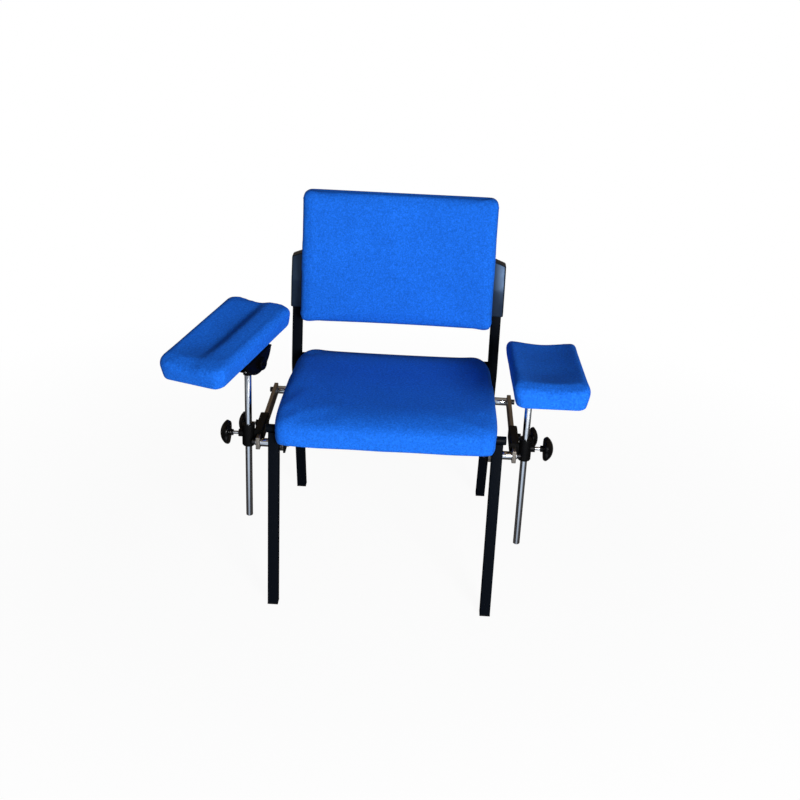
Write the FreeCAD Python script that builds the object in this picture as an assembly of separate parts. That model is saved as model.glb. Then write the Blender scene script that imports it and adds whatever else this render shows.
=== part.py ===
import FreeCAD, Part
import math
import os

from FreeCAD import Placement, Rotation, Vector

# Phlebotomy chair, in millimetres. The chair faces -Y and stands on Z = 0. While it is built,
# X = 0 is its middle plane and Y = 0 the front face of its front legs at their top.
# Left means -X, the left side for someone who stands in front of the chair.

# Where that middle plane and that front face lie from the origin, the middle of the whole footprint
MIDDLE_X = 33.5
FRONT_FACE_Y = -268.5

# Square tube of the legs and uprights
TUBE = 25.0
TUBE_WALL = 1.5
LEG_HALF_SPACING = 254.0
FRAME_DEPTH = 440.0
KNEE_Z = 432.0
TOP_BEND_Z = 653.0
UPRIGHT_TOP_Z = 708.0
BEND_RADIUS = 60.0
FRONT_LEG_SLOPE_SHARE = 0.045
REAR_LEG_SLOPE_SHARE = 0.321
UPRIGHT_SLOPE_SHARE = 0.105
UPRIGHT_HEAD_SLOPE_SHARE = 0.268

# Round cross tubes, with the plugs in the open ends of the front one
ROUND_TUBE = 20.0
CROSS_Z = 452.0
CROSS_OVERHANG = 4.5
LEG_TOP_DROP = 6.0
PLUG_FLANGE = 2.0
PLUG_DEPTH = 10.0
INSERT_FIT = 0.1

# Foot inserts
FOOT_FLANGE = 4.0
FOOT_PLUG = 20.0

# Seat rails, which run back from the front cross tube to the rear one
RAIL_WIDTH = 20.0
RAIL_HEIGHT = 30.0
RAIL_LEG_GAP = 5.5

# Seat: a board, and a pad that is dished across and hangs over the front tube
SEAT_FOAM_SIDE = 16.0
SEAT_FRONT_Y = -36.0
SEAT_REAR_PAST_KNEE = 1.5
SEAT_HEIGHT = 75.0
SEAT_LIP = 33.0
LIP_REAR_Y = -5.0
SEAT_SHOULDER = 20.0
SEAT_DISH_ANGLE = 3.6
SEAT_BOARD = 12.0
SEAT_BOARD_RAIL_INSET = 1.0
SEAT_BOARD_FRONT_Y = -8.0
SEAT_BOARD_KNEE_GAP = 22.5
SEAT_BOARD_CORNER = 70.0
SEAT_SCREW_BEHIND_FRONT_BOLT = 71.2
SEAT_SCREW_BEFORE_REAR_BOLT = 65.6

# Seat pad from front to rear: along, half width, underside, crest and dish
SEAT_SHARES = (
    (0.000, 0.905, 0.080, 0.450, 0.2),
    (0.006, 0.940, 0.027, 0.570, 0.2),
    (0.024, 0.975, 0.000, 0.700, 0.2),
    (0.063, 0.994, 0.000, 0.815, 0.3),
    (0.134, 1.000, 0.000, 0.895, 0.4),
    (0.230, 0.998, 0.000, 0.925, 0.6),
    (0.350, 0.992, 0.000, 0.925, 0.8),
    (0.580, 0.982, 0.000, 0.890, 1.0),
    (0.780, 0.966, 0.000, 0.820, 0.8),
    (0.900, 0.925, 0.050, 0.735, 0.5),
    (0.968, 0.828, 0.200, 0.620, 0.3),
    (1.000, 0.685, 0.360, 0.500, 0.2),
)

# Back: a pad hollow across its width, its board, and the shell with a sleeve on each upright
BACK_LEAN = 7.6
BACK_KNEE_SETBACK = 13.9
BACK_FOOT_Z = 566.0
BACK_LEG_INSET = 14.0
BACK_LENGTH = 326.0
BACK_PAD = 47.0
BACK_CORNER = 17.0
BACK_SHOULDER = 13.0
BACK_DISH_ANGLE = 6.4
BACK_BOARD = 10.0
BACK_BOARD_INSET = 24.0
BACK_BOARD_CORNER = 20.0
SHELL_PANEL = 5.0
SHELL_INSET = 10.0
SHELL_CORNER = 26.0
SHELL_EDGE = 2.5
SLEEVE = 34.0
SLEEVE_FIT = 0.3
SLEEVE_BOTTOM_Z = 587.0
SLEEVE_TOP_Z = 714.0
SLEEVE_TOP_ANGLE = 20.0
EAR_START = 35.0
EAR_LENGTH = 100.0
EAR_REACH = 45.0
EAR_DEPTH = 12.0
EAR_SCREW_INSET = 14.0
SLEEVE_SCREW_Z = 680.0

# Side bars: the outer one carries the clamp, the inner one hangs from the seat rail
BAR_THICKNESS = 10.0
BAR_HEIGHT = 30.0
BAR_BOTTOM_Z = 381.0
BAR_FRONT_Y = 42.0
BAR_LENGTH = 324.0
SPACER_LENGTH = 45.0
SPACER_D = 20.0
BOLT_INSET = 10.0
BOLT_D = 8.0
BOLT_HEAD_D = 13.0
BOLT_HEAD = 8.0
BOLT_OVERRUN = 3.0
SOCKET_FLATS = 6.0
SOCKET_DEPTH = 4.0
WASHER_D = 16.0
WASHER = 1.6
NUT_FLATS = 13.0
NUT = 6.5
HOLE_CLEARANCE = 0.25

# L brackets that hang the bars, and the small screws
BRACKET_PLATE = 5.0
BRACKET_LENGTH = 40.0
BRACKET_SCREW_HALF_SPACING = 12.0
SMALL_D = 6.0
SMALL_HEAD_D = 11.0
SMALL_HEAD = 3.5
SMALL_BITE = 8.0

# Clamp: a saddle over the outer bar, with a barrel that holds the post
POST_D = 16.0
POST_GAP_X = 20.5
POST_Y = 72.0
BARREL_D = 30.0
BARREL_TOP_EDGE = 1.5
BARREL_BOTTOM_EDGE = 4.0
BARREL_BOTTOM_Z = 378.0
BARREL_TOP_Z = 432.0
BRIDGE_BOTTOM_Z = 386.0
BRIDGE_WIDTH = 22.0
SADDLE_SLACK = 0.3
SADDLE_FRONT_Y = 66.0
SADDLE_LENGTH = 98.0
SADDLE_TOP = 9.0
SADDLE_ROUND = 4.0
SADDLE_LIP = 4.2
SADDLE_LIP_DROP = 21.0
SADDLE_CHEEK = 6.0
SADDLE_CHEEK_DROP = 28.0
BARREL_BOSS_D = 18.0
BARREL_BOSS = 8.0
SADDLE_BOSS_D = 18.0
SADDLE_BOSS = 9.0
RUNNING_FIT = 0.05
STUD_D = 8.0
STUD_IN_KNOB = 8.0
HEIGHT_STUD_Z = 408.0
HEIGHT_STUD_SHOWN = 12.5
RAIL_STUD_REAR_INSET = 12.0
RAIL_STUD_SHOWN = 16.0

# Lobed knobs
KNOB_LOBES = 6
HEIGHT_KNOB_D = 60.0
HEIGHT_KNOB = 30.0
RAIL_KNOB_D = 56.0
RAIL_KNOB = 25.0
KNOB_HUB_SHARE = 0.25
KNOB_HUB_LENGTH_SHARE = 0.25
KNOB_RIM_SHARE = 0.06
KNOB_EDGE_SHARE = 0.11
LOBE_GAP_D_SHARE = 0.34
LOBE_GAP_PLACE_SHARE = 1.21

# Post, and the head that swivels on its top and carries the tilting pad
POST_LENGTH = 380.0
POST_CHAMFER = 1.0
POST_BELOW_PIVOT = 3.0
GROOVE_DEPTH = 1.0
GROOVE_WIDTH = 6.0
GROOVE_BELOW_TOP = 3.0
COLLAR_D = 22.0
COLLAR_CAP = 2.0
COLLAR_GRIP = 14.0
SET_SCREW_D = 5.0
SET_SCREW_GAP = 0.3
PIVOT_SETBACK = 34.0
KNUCKLE_D = 30.0
KNUCKLE_SLACK = 0.2
WEB_WIDTH = 14.0
WEB_TOP = 2.0
WEB_DEPTH = 13.0

# Tilt bracket under the pad, with its pivot bolt and round lock nut
CHEEK_GAP = 23.0
CHEEK = 4.0
CHEEK_FRONT_REACH = 62.0
CHEEK_REAR_REACH = 52.0
PAD_ABOVE_PIVOT = 22.0
PLATE = 4.0
PLATE_OVERHANG = 2.0
PLATE_REACH = 46.0
BRACKET_DROP = 20.0
LOCK_NUT_D = 30.0
LOCK_NUT_SLACK = 0.1
LOCK_NUT = 8.0
LOCK_NUT_EDGE = 1.5
LOCK_NUT_GROOVES = 16
LOCK_NUT_GROOVE_D = 3.0
PAD_SCREW_D = 5.0
PAD_SCREW_HEAD_D = 9.0
PAD_SCREW_HEAD = 3.0
PAD_SCREW_BITE = 9.0
PAD_SCREW_HALF_SPACING = 42.0
PAD_SCREW_X = (23.0, 38.0)

# Arm pad: a board and a cushion with a gutter along it
ARM_LENGTH = 338.0
ARM_WIDTH = 164.0
ARM_PAD = 53.0
ARM_CORNER = 24.0
ARM_SHOULDER = 15.0
ARM_END_DROP = 5.0
ARM_DISH_ANGLE = 24.0
ARM_BOARD = 12.0
ARM_BOARD_INSET = 12.0
ARM_BOARD_CORNER = 12.0
ARM_BEHIND_PIVOT = -6.5

# How far each arm is raised, turned outwards, tipped forwards, and how far its pad is offset
ARM_POSES = {
    "left": {"pivot_z": 574.0, "heading": 20.7, "tilt": 8.7, "offset": 65.0},
    "right": {"pivot_z": 536.0, "heading": 0.8, "tilt": -3.6, "offset": 36.0},
}

# All pads: underside drawn in, and how round a thin edge may be
TUCK = 4.0
THIN_EDGE_SHARE = 0.45

# Back and arm pads: degrees round each corner, stations past it, and a flatter hollow at the ends
CORNER_TURNS = (12, 34, 60, 90)
CORNER_REACH_SHARE = 1.8
MIDDLE_SHARE = 0.35
END_FLATTER_SHARE = 0.33

# One overrun for all cuts
OVERRUN = 5.0

# Places worked out from the sizes above
LEG_TOP_Z = CROSS_Z - LEG_TOP_DROP
FRONT_CROSS_Y = TUBE / 2
KNEE_Y = FRONT_CROSS_Y + FRAME_DEPTH
RAIL_OUTER_X = LEG_HALF_SPACING - TUBE / 2 - RAIL_LEG_GAP
SEAT_BOARD_WIDTH = 2 * (RAIL_OUTER_X - SEAT_BOARD_RAIL_INSET)
SEAT_BOARD_DEPTH = KNEE_Y - SEAT_BOARD_KNEE_GAP - SEAT_BOARD_FRONT_Y
SEAT_WIDTH = SEAT_BOARD_WIDTH + 2 * SEAT_FOAM_SIDE
SEAT_DEPTH = KNEE_Y + SEAT_REAR_PAST_KNEE - SEAT_FRONT_Y
BACK_FOOT_Y = KNEE_Y - BACK_KNEE_SETBACK
BACK_WIDTH = 2 * (LEG_HALF_SPACING - BACK_LEG_INSET)
REAR_CROSS_Y = KNEE_Y + UPRIGHT_SLOPE_SHARE * (CROSS_Z - KNEE_Z)
DECK_Z = CROSS_Z + ROUND_TUBE / 2
RAIL_BOTTOM_Z = DECK_Z - RAIL_HEIGHT
INNER_BAR_X = RAIL_OUTER_X
OUTER_BAR_X = INNER_BAR_X + BAR_THICKNESS + SPACER_LENGTH
OUTER_BAR_FACE_X = OUTER_BAR_X + BAR_THICKNESS
BAR_MIDDLE_Z = BAR_BOTTOM_Z + BAR_HEIGHT / 2
BAR_TOP_Z = BAR_BOTTOM_Z + BAR_HEIGHT
BOLT_YS = (BAR_FRONT_Y + BOLT_INSET, BAR_FRONT_Y + BAR_LENGTH - BOLT_INSET)
POST_X = OUTER_BAR_FACE_X + POST_GAP_X
SADDLE_REAR_Y = SADDLE_FRONT_Y + SADDLE_LENGTH
RAIL_STUD_Y = SADDLE_REAR_Y - RAIL_STUD_REAR_INSET
BARREL_BOSS_FACE_X = POST_X + BARREL_D / 2 + BARREL_BOSS
SADDLE_FACE_X = OUTER_BAR_FACE_X + SADDLE_SLACK + SADDLE_CHEEK
SADDLE_BOSS_FACE_X = SADDLE_FACE_X + SADDLE_BOSS

X_AXIS = Vector(1, 0, 0)
Y_AXIS = Vector(0, 1, 0)
Z_AXIS = Vector(0, 0, 1)


# Small helpers

def box(x0, x1, y0, y1, z0, z1):
    return Part.makeBox(x1 - x0, y1 - y0, z1 - z0, Vector(x0, y0, z0))


def rod(diameter, start, end):
    run = end - start
    return Part.makeCylinder(diameter / 2, run.Length, start, run)


def rod_x(diameter, x0, x1, y, z):
    return rod(diameter, Vector(x0, y, z), Vector(x1, y, z))


def rod_z(diameter, x, y, z0, z1):
    return rod(diameter, Vector(x, y, z0), Vector(x, y, z1))


def fuse(shapes):
    return shapes[0].multiFuse(shapes[1:]).removeSplitter()


def edges_along(shape, axis):
    """Straight edges of a shape that run along an axis."""
    found = []
    for edge in shape.Edges:
        run = edge.Vertexes[-1].Point - edge.Vertexes[0].Point
        if run.Length > 0 and run.cross(axis).Length < run.Length / 1000:
            found.append(edge)
    return found


def rounded_box(x0, x1, y0, y1, z0, z1, radius, axis=Z_AXIS):
    """A box with the four edges along one axis rounded."""
    block = box(x0, x1, y0, y1, z0, z1)
    return block.makeFillet(radius, edges_along(block, axis))


def mirrored(shape):
    return shape.mirror(Vector(0, 0, 0), X_AXIS)


def both_sides(shape):
    return [mirrored(shape), shape]


def slanted_prism(x, y, z0, z1, width, depth, slope):
    """An upright rectangular bar whose middle moves back by the slope as it rises from y at z0."""
    low = Part.makePlane(width, depth, Vector(x - width / 2, y - depth / 2, z0))
    return low.extrude(Vector(0, slope * (z1 - z0), z1 - z0))


def offset_edges(path, bend_radius, offset):
    """Edges beside a path in the YZ plane, offset to its side, with round bends."""
    edges = []
    here = None
    for index in range(len(path) - 1):
        run = (path[index + 1] - path[index]).normalize()
        side = run.cross(X_AXIS)
        if here is None:
            here = path[index] + side * offset
        if index + 2 == len(path):
            edges.append(Part.LineSegment(here, path[index + 1] + side * offset).toShape())
            break
        run_after = (path[index + 2] - path[index + 1]).normalize()
        side_after = run_after.cross(X_AXIS)
        turn = run.getAngle(run_after)
        sign = 1 if run_after.dot(side) > 0 else -1
        tangent = bend_radius * math.tan(turn / 2)
        bend_in = path[index + 1] - run * tangent
        bend_out = path[index + 1] + run_after * tangent
        middle_side = (side + side_after).normalize()
        centre = bend_in + side * (sign * bend_radius)
        on_arc = centre + middle_side * (offset - sign * bend_radius)
        arc_start = bend_in + side * offset
        arc_end = bend_out + side_after * offset
        edges.append(Part.LineSegment(here, arc_start).toShape())
        edges.append(Part.Arc(arc_start, on_arc, arc_end).toShape())
        here = arc_end
    return edges


def bent_bar(path, bend_radius, depth, x, width):
    """A rectangular bar along a path in the YZ plane, centred on x."""
    front = offset_edges(path, bend_radius, depth / 2)
    rear = offset_edges(path, bend_radius, -depth / 2)
    low = Part.LineSegment(front[0].Vertexes[0].Point, rear[0].Vertexes[0].Point).toShape()
    high = Part.LineSegment(front[-1].Vertexes[-1].Point, rear[-1].Vertexes[-1].Point).toShape()
    outline = Part.Wire(Part.__sortEdges__(front + rear + [low, high]))
    bar = Part.Face(outline).extrude(Vector(width, 0, 0))
    bar.translate(Vector(x - width / 2, 0, 0))
    return bar


def hex_x(flats, x0, x1, y, z):
    """A hexagonal bar along X."""
    corner = flats / math.sqrt(3)
    points = []
    for index in range(7):
        angle = math.radians(60 * index)
        points.append(Vector(x0, y + corner * math.cos(angle), z + corner * math.sin(angle)))
    return Part.Face(Part.makePolygon(points)).extrude(Vector(x1 - x0, 0, 0))


def screw(head_d, head, shank_d, shank, seat, axis):
    """A screw whose head lies behind the seat point and whose shank runs along the axis."""
    head_part = rod(head_d, seat - axis * head, seat)
    shank_part = rod(shank_d, seat, seat + axis * shank)
    return head_part.fuse(shank_part).removeSplitter()


# Cushions

def pad_section(y, half_width, underside, crest, shoulder, dish_angle):
    """One section across a pad: underside, sides, round shoulders and a hollow middle."""
    height = crest - underside
    radius = min(shoulder, height * THIN_EDGE_SHARE)
    dish = math.radians(dish_angle)
    inner_x = half_width - radius - radius * math.sin(dish)
    inner_z = crest - radius * (1 - math.cos(dish))
    middle_z = inner_z - inner_x * math.tan(dish / 2)
    half_turn = (math.pi / 2 + dish) / 2
    bow_x = half_width - radius + radius * math.cos(half_turn)
    bow_z = crest - radius + radius * math.sin(half_turn)
    tuck = min(TUCK, height * THIN_EDGE_SHARE)
    side_z = crest - radius
    foot_r = Vector(half_width - tuck, y, underside)
    foot_l = Vector(tuck - half_width, y, underside)
    side_r = Vector(half_width, y, side_z)
    side_l = Vector(-half_width, y, side_z)
    inner_r = Vector(inner_x, y, inner_z)
    inner_l = Vector(-inner_x, y, inner_z)
    curves = (
        Part.LineSegment(foot_l, foot_r),
        Part.LineSegment(foot_r, side_r),
        Part.Arc(side_r, Vector(bow_x, y, bow_z), inner_r),
        Part.Arc(inner_r, Vector(0, y, middle_z), inner_l),
        Part.Arc(inner_l, Vector(-bow_x, y, bow_z), side_l),
        Part.LineSegment(side_l, foot_l),
    )
    return Part.Wire([curve.toShape() for curve in curves])


def end_stations(length, corner):
    """Places along a pad and how far its sides draw in there, for round corners in plan."""
    stations = []
    for turn in CORNER_TURNS:
        angle = math.radians(turn)
        stations.append((corner * (1 - math.cos(angle)), corner * (1 - math.sin(angle))))
    stations.append((corner * CORNER_REACH_SHARE, 0))
    stations.append((length * MIDDLE_SHARE, 0))
    far = [(length - along, inset) for along, inset in reversed(stations)]
    return stations + far


def long_pad(width, length, height, corner, shoulder, dish_angle, end_drop):
    """A pad with its underside on Z = 0 and its low end on Y = 0."""
    sections = []
    for along, inset in end_stations(length, corner):
        crest = height - end_drop * inset / corner
        dish_here = dish_angle * (1 - END_FLATTER_SHARE * inset / corner)
        sections.append(pad_section(along, width / 2 - inset, 0, crest, shoulder, dish_here))
    return Part.makeLoft(sections, True, False)


# Frame

def front_leg():
    bottom_y = TUBE / 2 - FRONT_LEG_SLOPE_SHARE * (LEG_TOP_Z - FOOT_FLANGE)
    hollow = TUBE - 2 * TUBE_WALL
    outer = slanted_prism(
        LEG_HALF_SPACING, bottom_y, FOOT_FLANGE, LEG_TOP_Z, TUBE, TUBE, FRONT_LEG_SLOPE_SHARE)
    inner = slanted_prism(
        LEG_HALF_SPACING, bottom_y, FOOT_FLANGE, LEG_TOP_Z, hollow, hollow, FRONT_LEG_SLOPE_SHARE)
    return outer.cut(inner).cut(front_cross_rod())


def front_cross_rod():
    reach = LEG_HALF_SPACING + TUBE / 2 + CROSS_OVERHANG
    return rod_x(ROUND_TUBE, -reach, reach, FRONT_CROSS_Y, CROSS_Z)


def front_cross_tube():
    reach = LEG_HALF_SPACING + TUBE / 2 + CROSS_OVERHANG
    bore = rod_x(ROUND_TUBE - 2 * TUBE_WALL, -reach, reach, FRONT_CROSS_Y, CROSS_Z)
    return front_cross_rod().cut(bore)


def cross_tube_plug():
    end_x = LEG_HALF_SPACING + TUBE / 2 + CROSS_OVERHANG
    bore = ROUND_TUBE - 2 * TUBE_WALL - 2 * INSERT_FIT
    flange = rod_x(ROUND_TUBE, end_x, end_x + PLUG_FLANGE, FRONT_CROSS_Y, CROSS_Z)
    return flange.fuse(rod_x(bore, end_x - PLUG_DEPTH, end_x, FRONT_CROSS_Y, CROSS_Z))


def rear_path():
    """Middle line of a rear leg and its upright, from below the floor to its top."""
    foot_y = KNEE_Y + REAR_LEG_SLOPE_SHARE * (KNEE_Z + OVERRUN)
    bend_y = KNEE_Y + UPRIGHT_SLOPE_SHARE * (TOP_BEND_Z - KNEE_Z)
    top_y = bend_y + UPRIGHT_HEAD_SLOPE_SHARE * (UPRIGHT_TOP_Z - TOP_BEND_Z)
    return [
        Vector(0, foot_y, -OVERRUN),
        Vector(0, KNEE_Y, KNEE_Z),
        Vector(0, bend_y, TOP_BEND_Z),
        Vector(0, top_y, UPRIGHT_TOP_Z),
    ]


def rear_leg():
    hollow = TUBE - 2 * TUBE_WALL
    outer = bent_bar(rear_path(), BEND_RADIUS, TUBE, LEG_HALF_SPACING, TUBE)
    inner = bent_bar(rear_path(), BEND_RADIUS, hollow, LEG_HALF_SPACING, hollow)
    floor = box(0, LEG_HALF_SPACING + TUBE, KNEE_Y, KNEE_Y + KNEE_Z, -TUBE, FOOT_FLANGE)
    return outer.cut(inner).cut(floor).cut(sleeve_screw())


def rear_cross_tube():
    reach = LEG_HALF_SPACING - TUBE / 2
    outer = rod_x(ROUND_TUBE, -reach, reach, REAR_CROSS_Y, CROSS_Z)
    return outer.cut(rod_x(ROUND_TUBE - 2 * TUBE_WALL, -reach, reach, REAR_CROSS_Y, CROSS_Z))


def seat_rail():
    inner_x = RAIL_OUTER_X - RAIL_WIDTH
    rail = box(inner_x, RAIL_OUTER_X, FRONT_CROSS_Y, REAR_CROSS_Y, RAIL_BOTTOM_Z, DECK_Z)
    hollow = box(
        inner_x + TUBE_WALL, RAIL_OUTER_X - TUBE_WALL, FRONT_CROSS_Y, REAR_CROSS_Y,
        RAIL_BOTTOM_Z + TUBE_WALL, DECK_Z - TUBE_WALL)
    rear_rod = rod_x(ROUND_TUBE, inner_x, RAIL_OUTER_X, REAR_CROSS_Y, CROSS_Z)
    rail = rail.cut(hollow).cut(front_cross_rod()).cut(rear_rod)
    hole_d = SMALL_D + 2 * HOLE_CLEARANCE
    for x, y in bracket_screw_places():
        rail = rail.cut(rod_z(hole_d, x, y, RAIL_BOTTOM_Z, RAIL_BOTTOM_Z + TUBE_WALL))
    for x, y in seat_screw_places():
        rail = rail.cut(rod_z(hole_d, x, y, RAIL_BOTTOM_Z, DECK_Z))
    return rail


def foot_insert(x, y, z, depth, slope):
    """A flange under a leg and a plug inside it, both slanted as the leg is."""
    hollow_share = (TUBE - 2 * TUBE_WALL - 2 * INSERT_FIT) / TUBE
    flange = slanted_prism(x, y - slope * z, 0, FOOT_FLANGE, TUBE, depth, slope)
    plug = slanted_prism(
        x, y - slope * (z - FOOT_FLANGE), FOOT_FLANGE, FOOT_FLANGE + FOOT_PLUG,
        TUBE * hollow_share, depth * hollow_share, slope)
    return flange.fuse(plug)


def front_foot():
    return foot_insert(LEG_HALF_SPACING, TUBE / 2, LEG_TOP_Z, TUBE, FRONT_LEG_SLOPE_SHARE)


def rear_foot():
    level_depth = TUBE * math.hypot(1, REAR_LEG_SLOPE_SHARE)
    return foot_insert(LEG_HALF_SPACING, KNEE_Y, KNEE_Z, level_depth, -REAR_LEG_SLOPE_SHARE)


# Seat

def seat_screw_places():
    """Seat screws lie between the two hanger brackets, which stand at the bar bolts."""
    x = RAIL_OUTER_X - RAIL_WIDTH / 2
    front_bolt_y, rear_bolt_y = BOLT_YS
    return [
        (x, front_bolt_y + SEAT_SCREW_BEHIND_FRONT_BOLT),
        (x, rear_bolt_y - SEAT_SCREW_BEFORE_REAR_BOLT),
    ]


def seat_board_blank():
    rear_y = SEAT_BOARD_FRONT_Y + SEAT_BOARD_DEPTH
    half = SEAT_BOARD_WIDTH / 2
    blank = box(-half, half, SEAT_BOARD_FRONT_Y, rear_y, DECK_Z, DECK_Z + SEAT_BOARD)
    rear_edges = []
    for edge in edges_along(blank, Z_AXIS):
        if edge.Vertexes[0].Point.y > FRAME_DEPTH / 2:
            rear_edges.append(edge)
    return blank.makeFillet(SEAT_BOARD_CORNER, rear_edges)


def seat_screws():
    found = []
    for x, y in seat_screw_places():
        shank = RAIL_HEIGHT + SMALL_BITE
        seat = Vector(x, y, RAIL_BOTTOM_Z)
        found.append(screw(SMALL_HEAD_D, SMALL_HEAD, SMALL_D, shank, seat, Z_AXIS))
    return found


def seat_board():
    board = seat_board_blank()
    for piece in seat_screws():
        board = board.cut(piece).cut(mirrored(piece))
    return board


def seat_pad():
    base_z = DECK_Z - SEAT_LIP
    sections = []
    for along, width, underside, crest, dish in SEAT_SHARES:
        sections.append(pad_section(
            SEAT_FRONT_Y + along * SEAT_DEPTH, width * SEAT_WIDTH / 2,
            base_z + underside * SEAT_HEIGHT, base_z + crest * SEAT_HEIGHT,
            SEAT_SHOULDER, dish * SEAT_DISH_ANGLE))
    pad = Part.makeLoft(sections, True, False)
    under = box(
        -SEAT_WIDTH, SEAT_WIDTH, LIP_REAR_Y, SEAT_FRONT_Y + SEAT_DEPTH + OVERRUN,
        base_z - OVERRUN, DECK_Z)
    return pad.cut(under).cut(seat_board_blank())


# Back

def on_back(shape):
    """Stand a shape that lies with its length along Y on the leaning back."""
    turn = Rotation(X_AXIS, 90 - BACK_LEAN)
    shape.Placement = Placement(Vector(0, BACK_FOOT_Y, BACK_FOOT_Z), turn)
    return shape


def back_board_blank():
    half = BACK_WIDTH / 2 - BACK_BOARD_INSET
    return rounded_box(
        -half, half, BACK_BOARD_INSET, BACK_LENGTH - BACK_BOARD_INSET, 0, BACK_BOARD,
        BACK_BOARD_CORNER)


def back_screw_places():
    x = LEG_HALF_SPACING - SLEEVE / 2 - EAR_REACH + EAR_SCREW_INSET
    return [(x, EAR_START + EAR_SCREW_INSET), (x, EAR_START + EAR_LENGTH - EAR_SCREW_INSET)]


def back_screws():
    """Screws from behind through the ears and the shell into the back board."""
    found = []
    for x, y in back_screw_places():
        seat = Vector(x, y, -SHELL_PANEL - EAR_DEPTH)
        shank = EAR_DEPTH + SHELL_PANEL + SMALL_BITE
        piece = screw(SMALL_HEAD_D, SMALL_HEAD, SMALL_D, shank, seat, Z_AXIS)
        found += both_sides(piece)
    return found


def back_board():
    board = back_board_blank()
    for piece in back_screws():
        board = board.cut(piece)
    return on_back(board)


def back_pad():
    pad = long_pad(
        BACK_WIDTH, BACK_LENGTH, BACK_PAD, BACK_CORNER, BACK_SHOULDER, BACK_DISH_ANGLE,
        BACK_CORNER)
    return on_back(pad.cut(back_board_blank()))


def back_shell():
    half = BACK_WIDTH / 2 - SHELL_INSET
    panel = rounded_box(
        -half, half, SHELL_INSET, BACK_LENGTH - SHELL_INSET, -SHELL_PANEL, 0, SHELL_CORNER)
    rear_edges = []
    for edge in panel.Edges:
        if edge.BoundBox.ZMax < -SHELL_PANEL / 2:
            rear_edges.append(edge)
    panel = panel.makeFillet(SHELL_EDGE, rear_edges)
    for x, y in back_screw_places():
        hole = rod_z(SMALL_D + 2 * HOLE_CLEARANCE, x, y, -SHELL_PANEL, 0)
        panel = panel.cut(hole).cut(mirrored(hole))
    return on_back(panel)


def ear():
    """The block that joins a sleeve to the shell behind the pad."""
    inner_x = LEG_HALF_SPACING - SLEEVE / 2 - EAR_REACH
    block = box(
        inner_x, LEG_HALF_SPACING, EAR_START, EAR_START + EAR_LENGTH,
        -SHELL_PANEL - EAR_DEPTH, -SHELL_PANEL)
    for x, y in back_screw_places():
        hole_d = SMALL_D + 2 * HOLE_CLEARANCE
        block = block.cut(rod_z(hole_d, x, y, -SHELL_PANEL - EAR_DEPTH, -SHELL_PANEL))
    return on_back(block)


def sleeve_blank():
    """The outside of a sleeve, with a top that rises towards the pad."""
    path = rear_path()
    run = (path[3] - path[2]).normalize()
    tall = path[:3] + [path[3] + run * SLEEVE]
    body = bent_bar(tall, BEND_RADIUS, SLEEVE, LEG_HALF_SPACING, SLEEVE)
    reach = 2 * SLEEVE
    low = box(
        LEG_HALF_SPACING - SLEEVE, LEG_HALF_SPACING + SLEEVE, KNEE_Y - reach,
        KNEE_Y + KNEE_Z, -reach, SLEEVE_BOTTOM_Z)
    high = box(-reach, reach, -KNEE_Y, KNEE_Y, 0, reach)
    tip = Vector(LEG_HALF_SPACING + SLEEVE / 2, KNEE_Y, SLEEVE_TOP_Z)
    high.Placement = Placement(tip, Rotation(Y_AXIS, SLEEVE_TOP_ANGLE))
    return body.cut(low).cut(high)


def upright_pocket():
    room = TUBE + 2 * SLEEVE_FIT
    path = rear_path()
    run = (path[3] - path[2]).normalize()
    path[3] = path[3] + run * SLEEVE_FIT
    return bent_bar(path, BEND_RADIUS, room, LEG_HALF_SPACING, room)


def upright_sleeve():
    return fuse([sleeve_blank(), ear()]).cut(upright_pocket()).cut(sleeve_screw())


def sleeve_screw():
    """A screw from behind through the sleeve into the upright."""
    path = rear_path()
    run = (path[3] - path[2]).normalize()
    side = run.cross(X_AXIS)
    middle = path[2] + run * ((SLEEVE_SCREW_Z - TOP_BEND_Z) / run.z)
    seat = middle + side * (SLEEVE / 2)
    seat.x = LEG_HALF_SPACING
    shank = (SLEEVE - TUBE) / 2 + TUBE_WALL + SMALL_BITE / 2
    return screw(SMALL_HEAD_D, SMALL_HEAD, SMALL_D, shank, seat, side * -1)


# Side bars

def bolt_hole(x0, x1, y):
    return rod_x(BOLT_D + 2 * HOLE_CLEARANCE, x0, x1, y, BAR_MIDDLE_Z)


def side_bar(x):
    rear_y = BAR_FRONT_Y + BAR_LENGTH
    bar = box(x, x + BAR_THICKNESS, BAR_FRONT_Y, rear_y, BAR_BOTTOM_Z, BAR_TOP_Z)
    for y in BOLT_YS:
        bar = bar.cut(bolt_hole(x, x + BAR_THICKNESS, y))
    return bar


def spacers():
    start = INNER_BAR_X + BAR_THICKNESS
    found = []
    for y in BOLT_YS:
        sleeve_rod = rod_x(SPACER_D, start, OUTER_BAR_X, y, BAR_MIDDLE_Z)
        found.append(sleeve_rod.cut(bolt_hole(start, OUTER_BAR_X, y)))
    return found


def rail_bolts():
    seat_x = OUTER_BAR_FACE_X + WASHER
    end_x = RAIL_OUTER_X - BRACKET_PLATE - NUT - BOLT_OVERRUN
    found = []
    for y in BOLT_YS:
        seat = Vector(seat_x, y, BAR_MIDDLE_Z)
        bolt = screw(BOLT_HEAD_D, BOLT_HEAD, BOLT_D, seat_x - end_x, seat, X_AXIS * -1)
        head_x = seat_x + BOLT_HEAD
        found.append(bolt.cut(hex_x(SOCKET_FLATS, head_x - SOCKET_DEPTH, head_x, y, BAR_MIDDLE_Z)))
    return found


def rail_washers():
    found = []
    for y in BOLT_YS:
        end_x = OUTER_BAR_FACE_X + WASHER
        disc = rod_x(WASHER_D, OUTER_BAR_FACE_X, end_x, y, BAR_MIDDLE_Z)
        found.append(disc.cut(bolt_hole(OUTER_BAR_FACE_X, end_x, y)))
    return found


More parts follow.
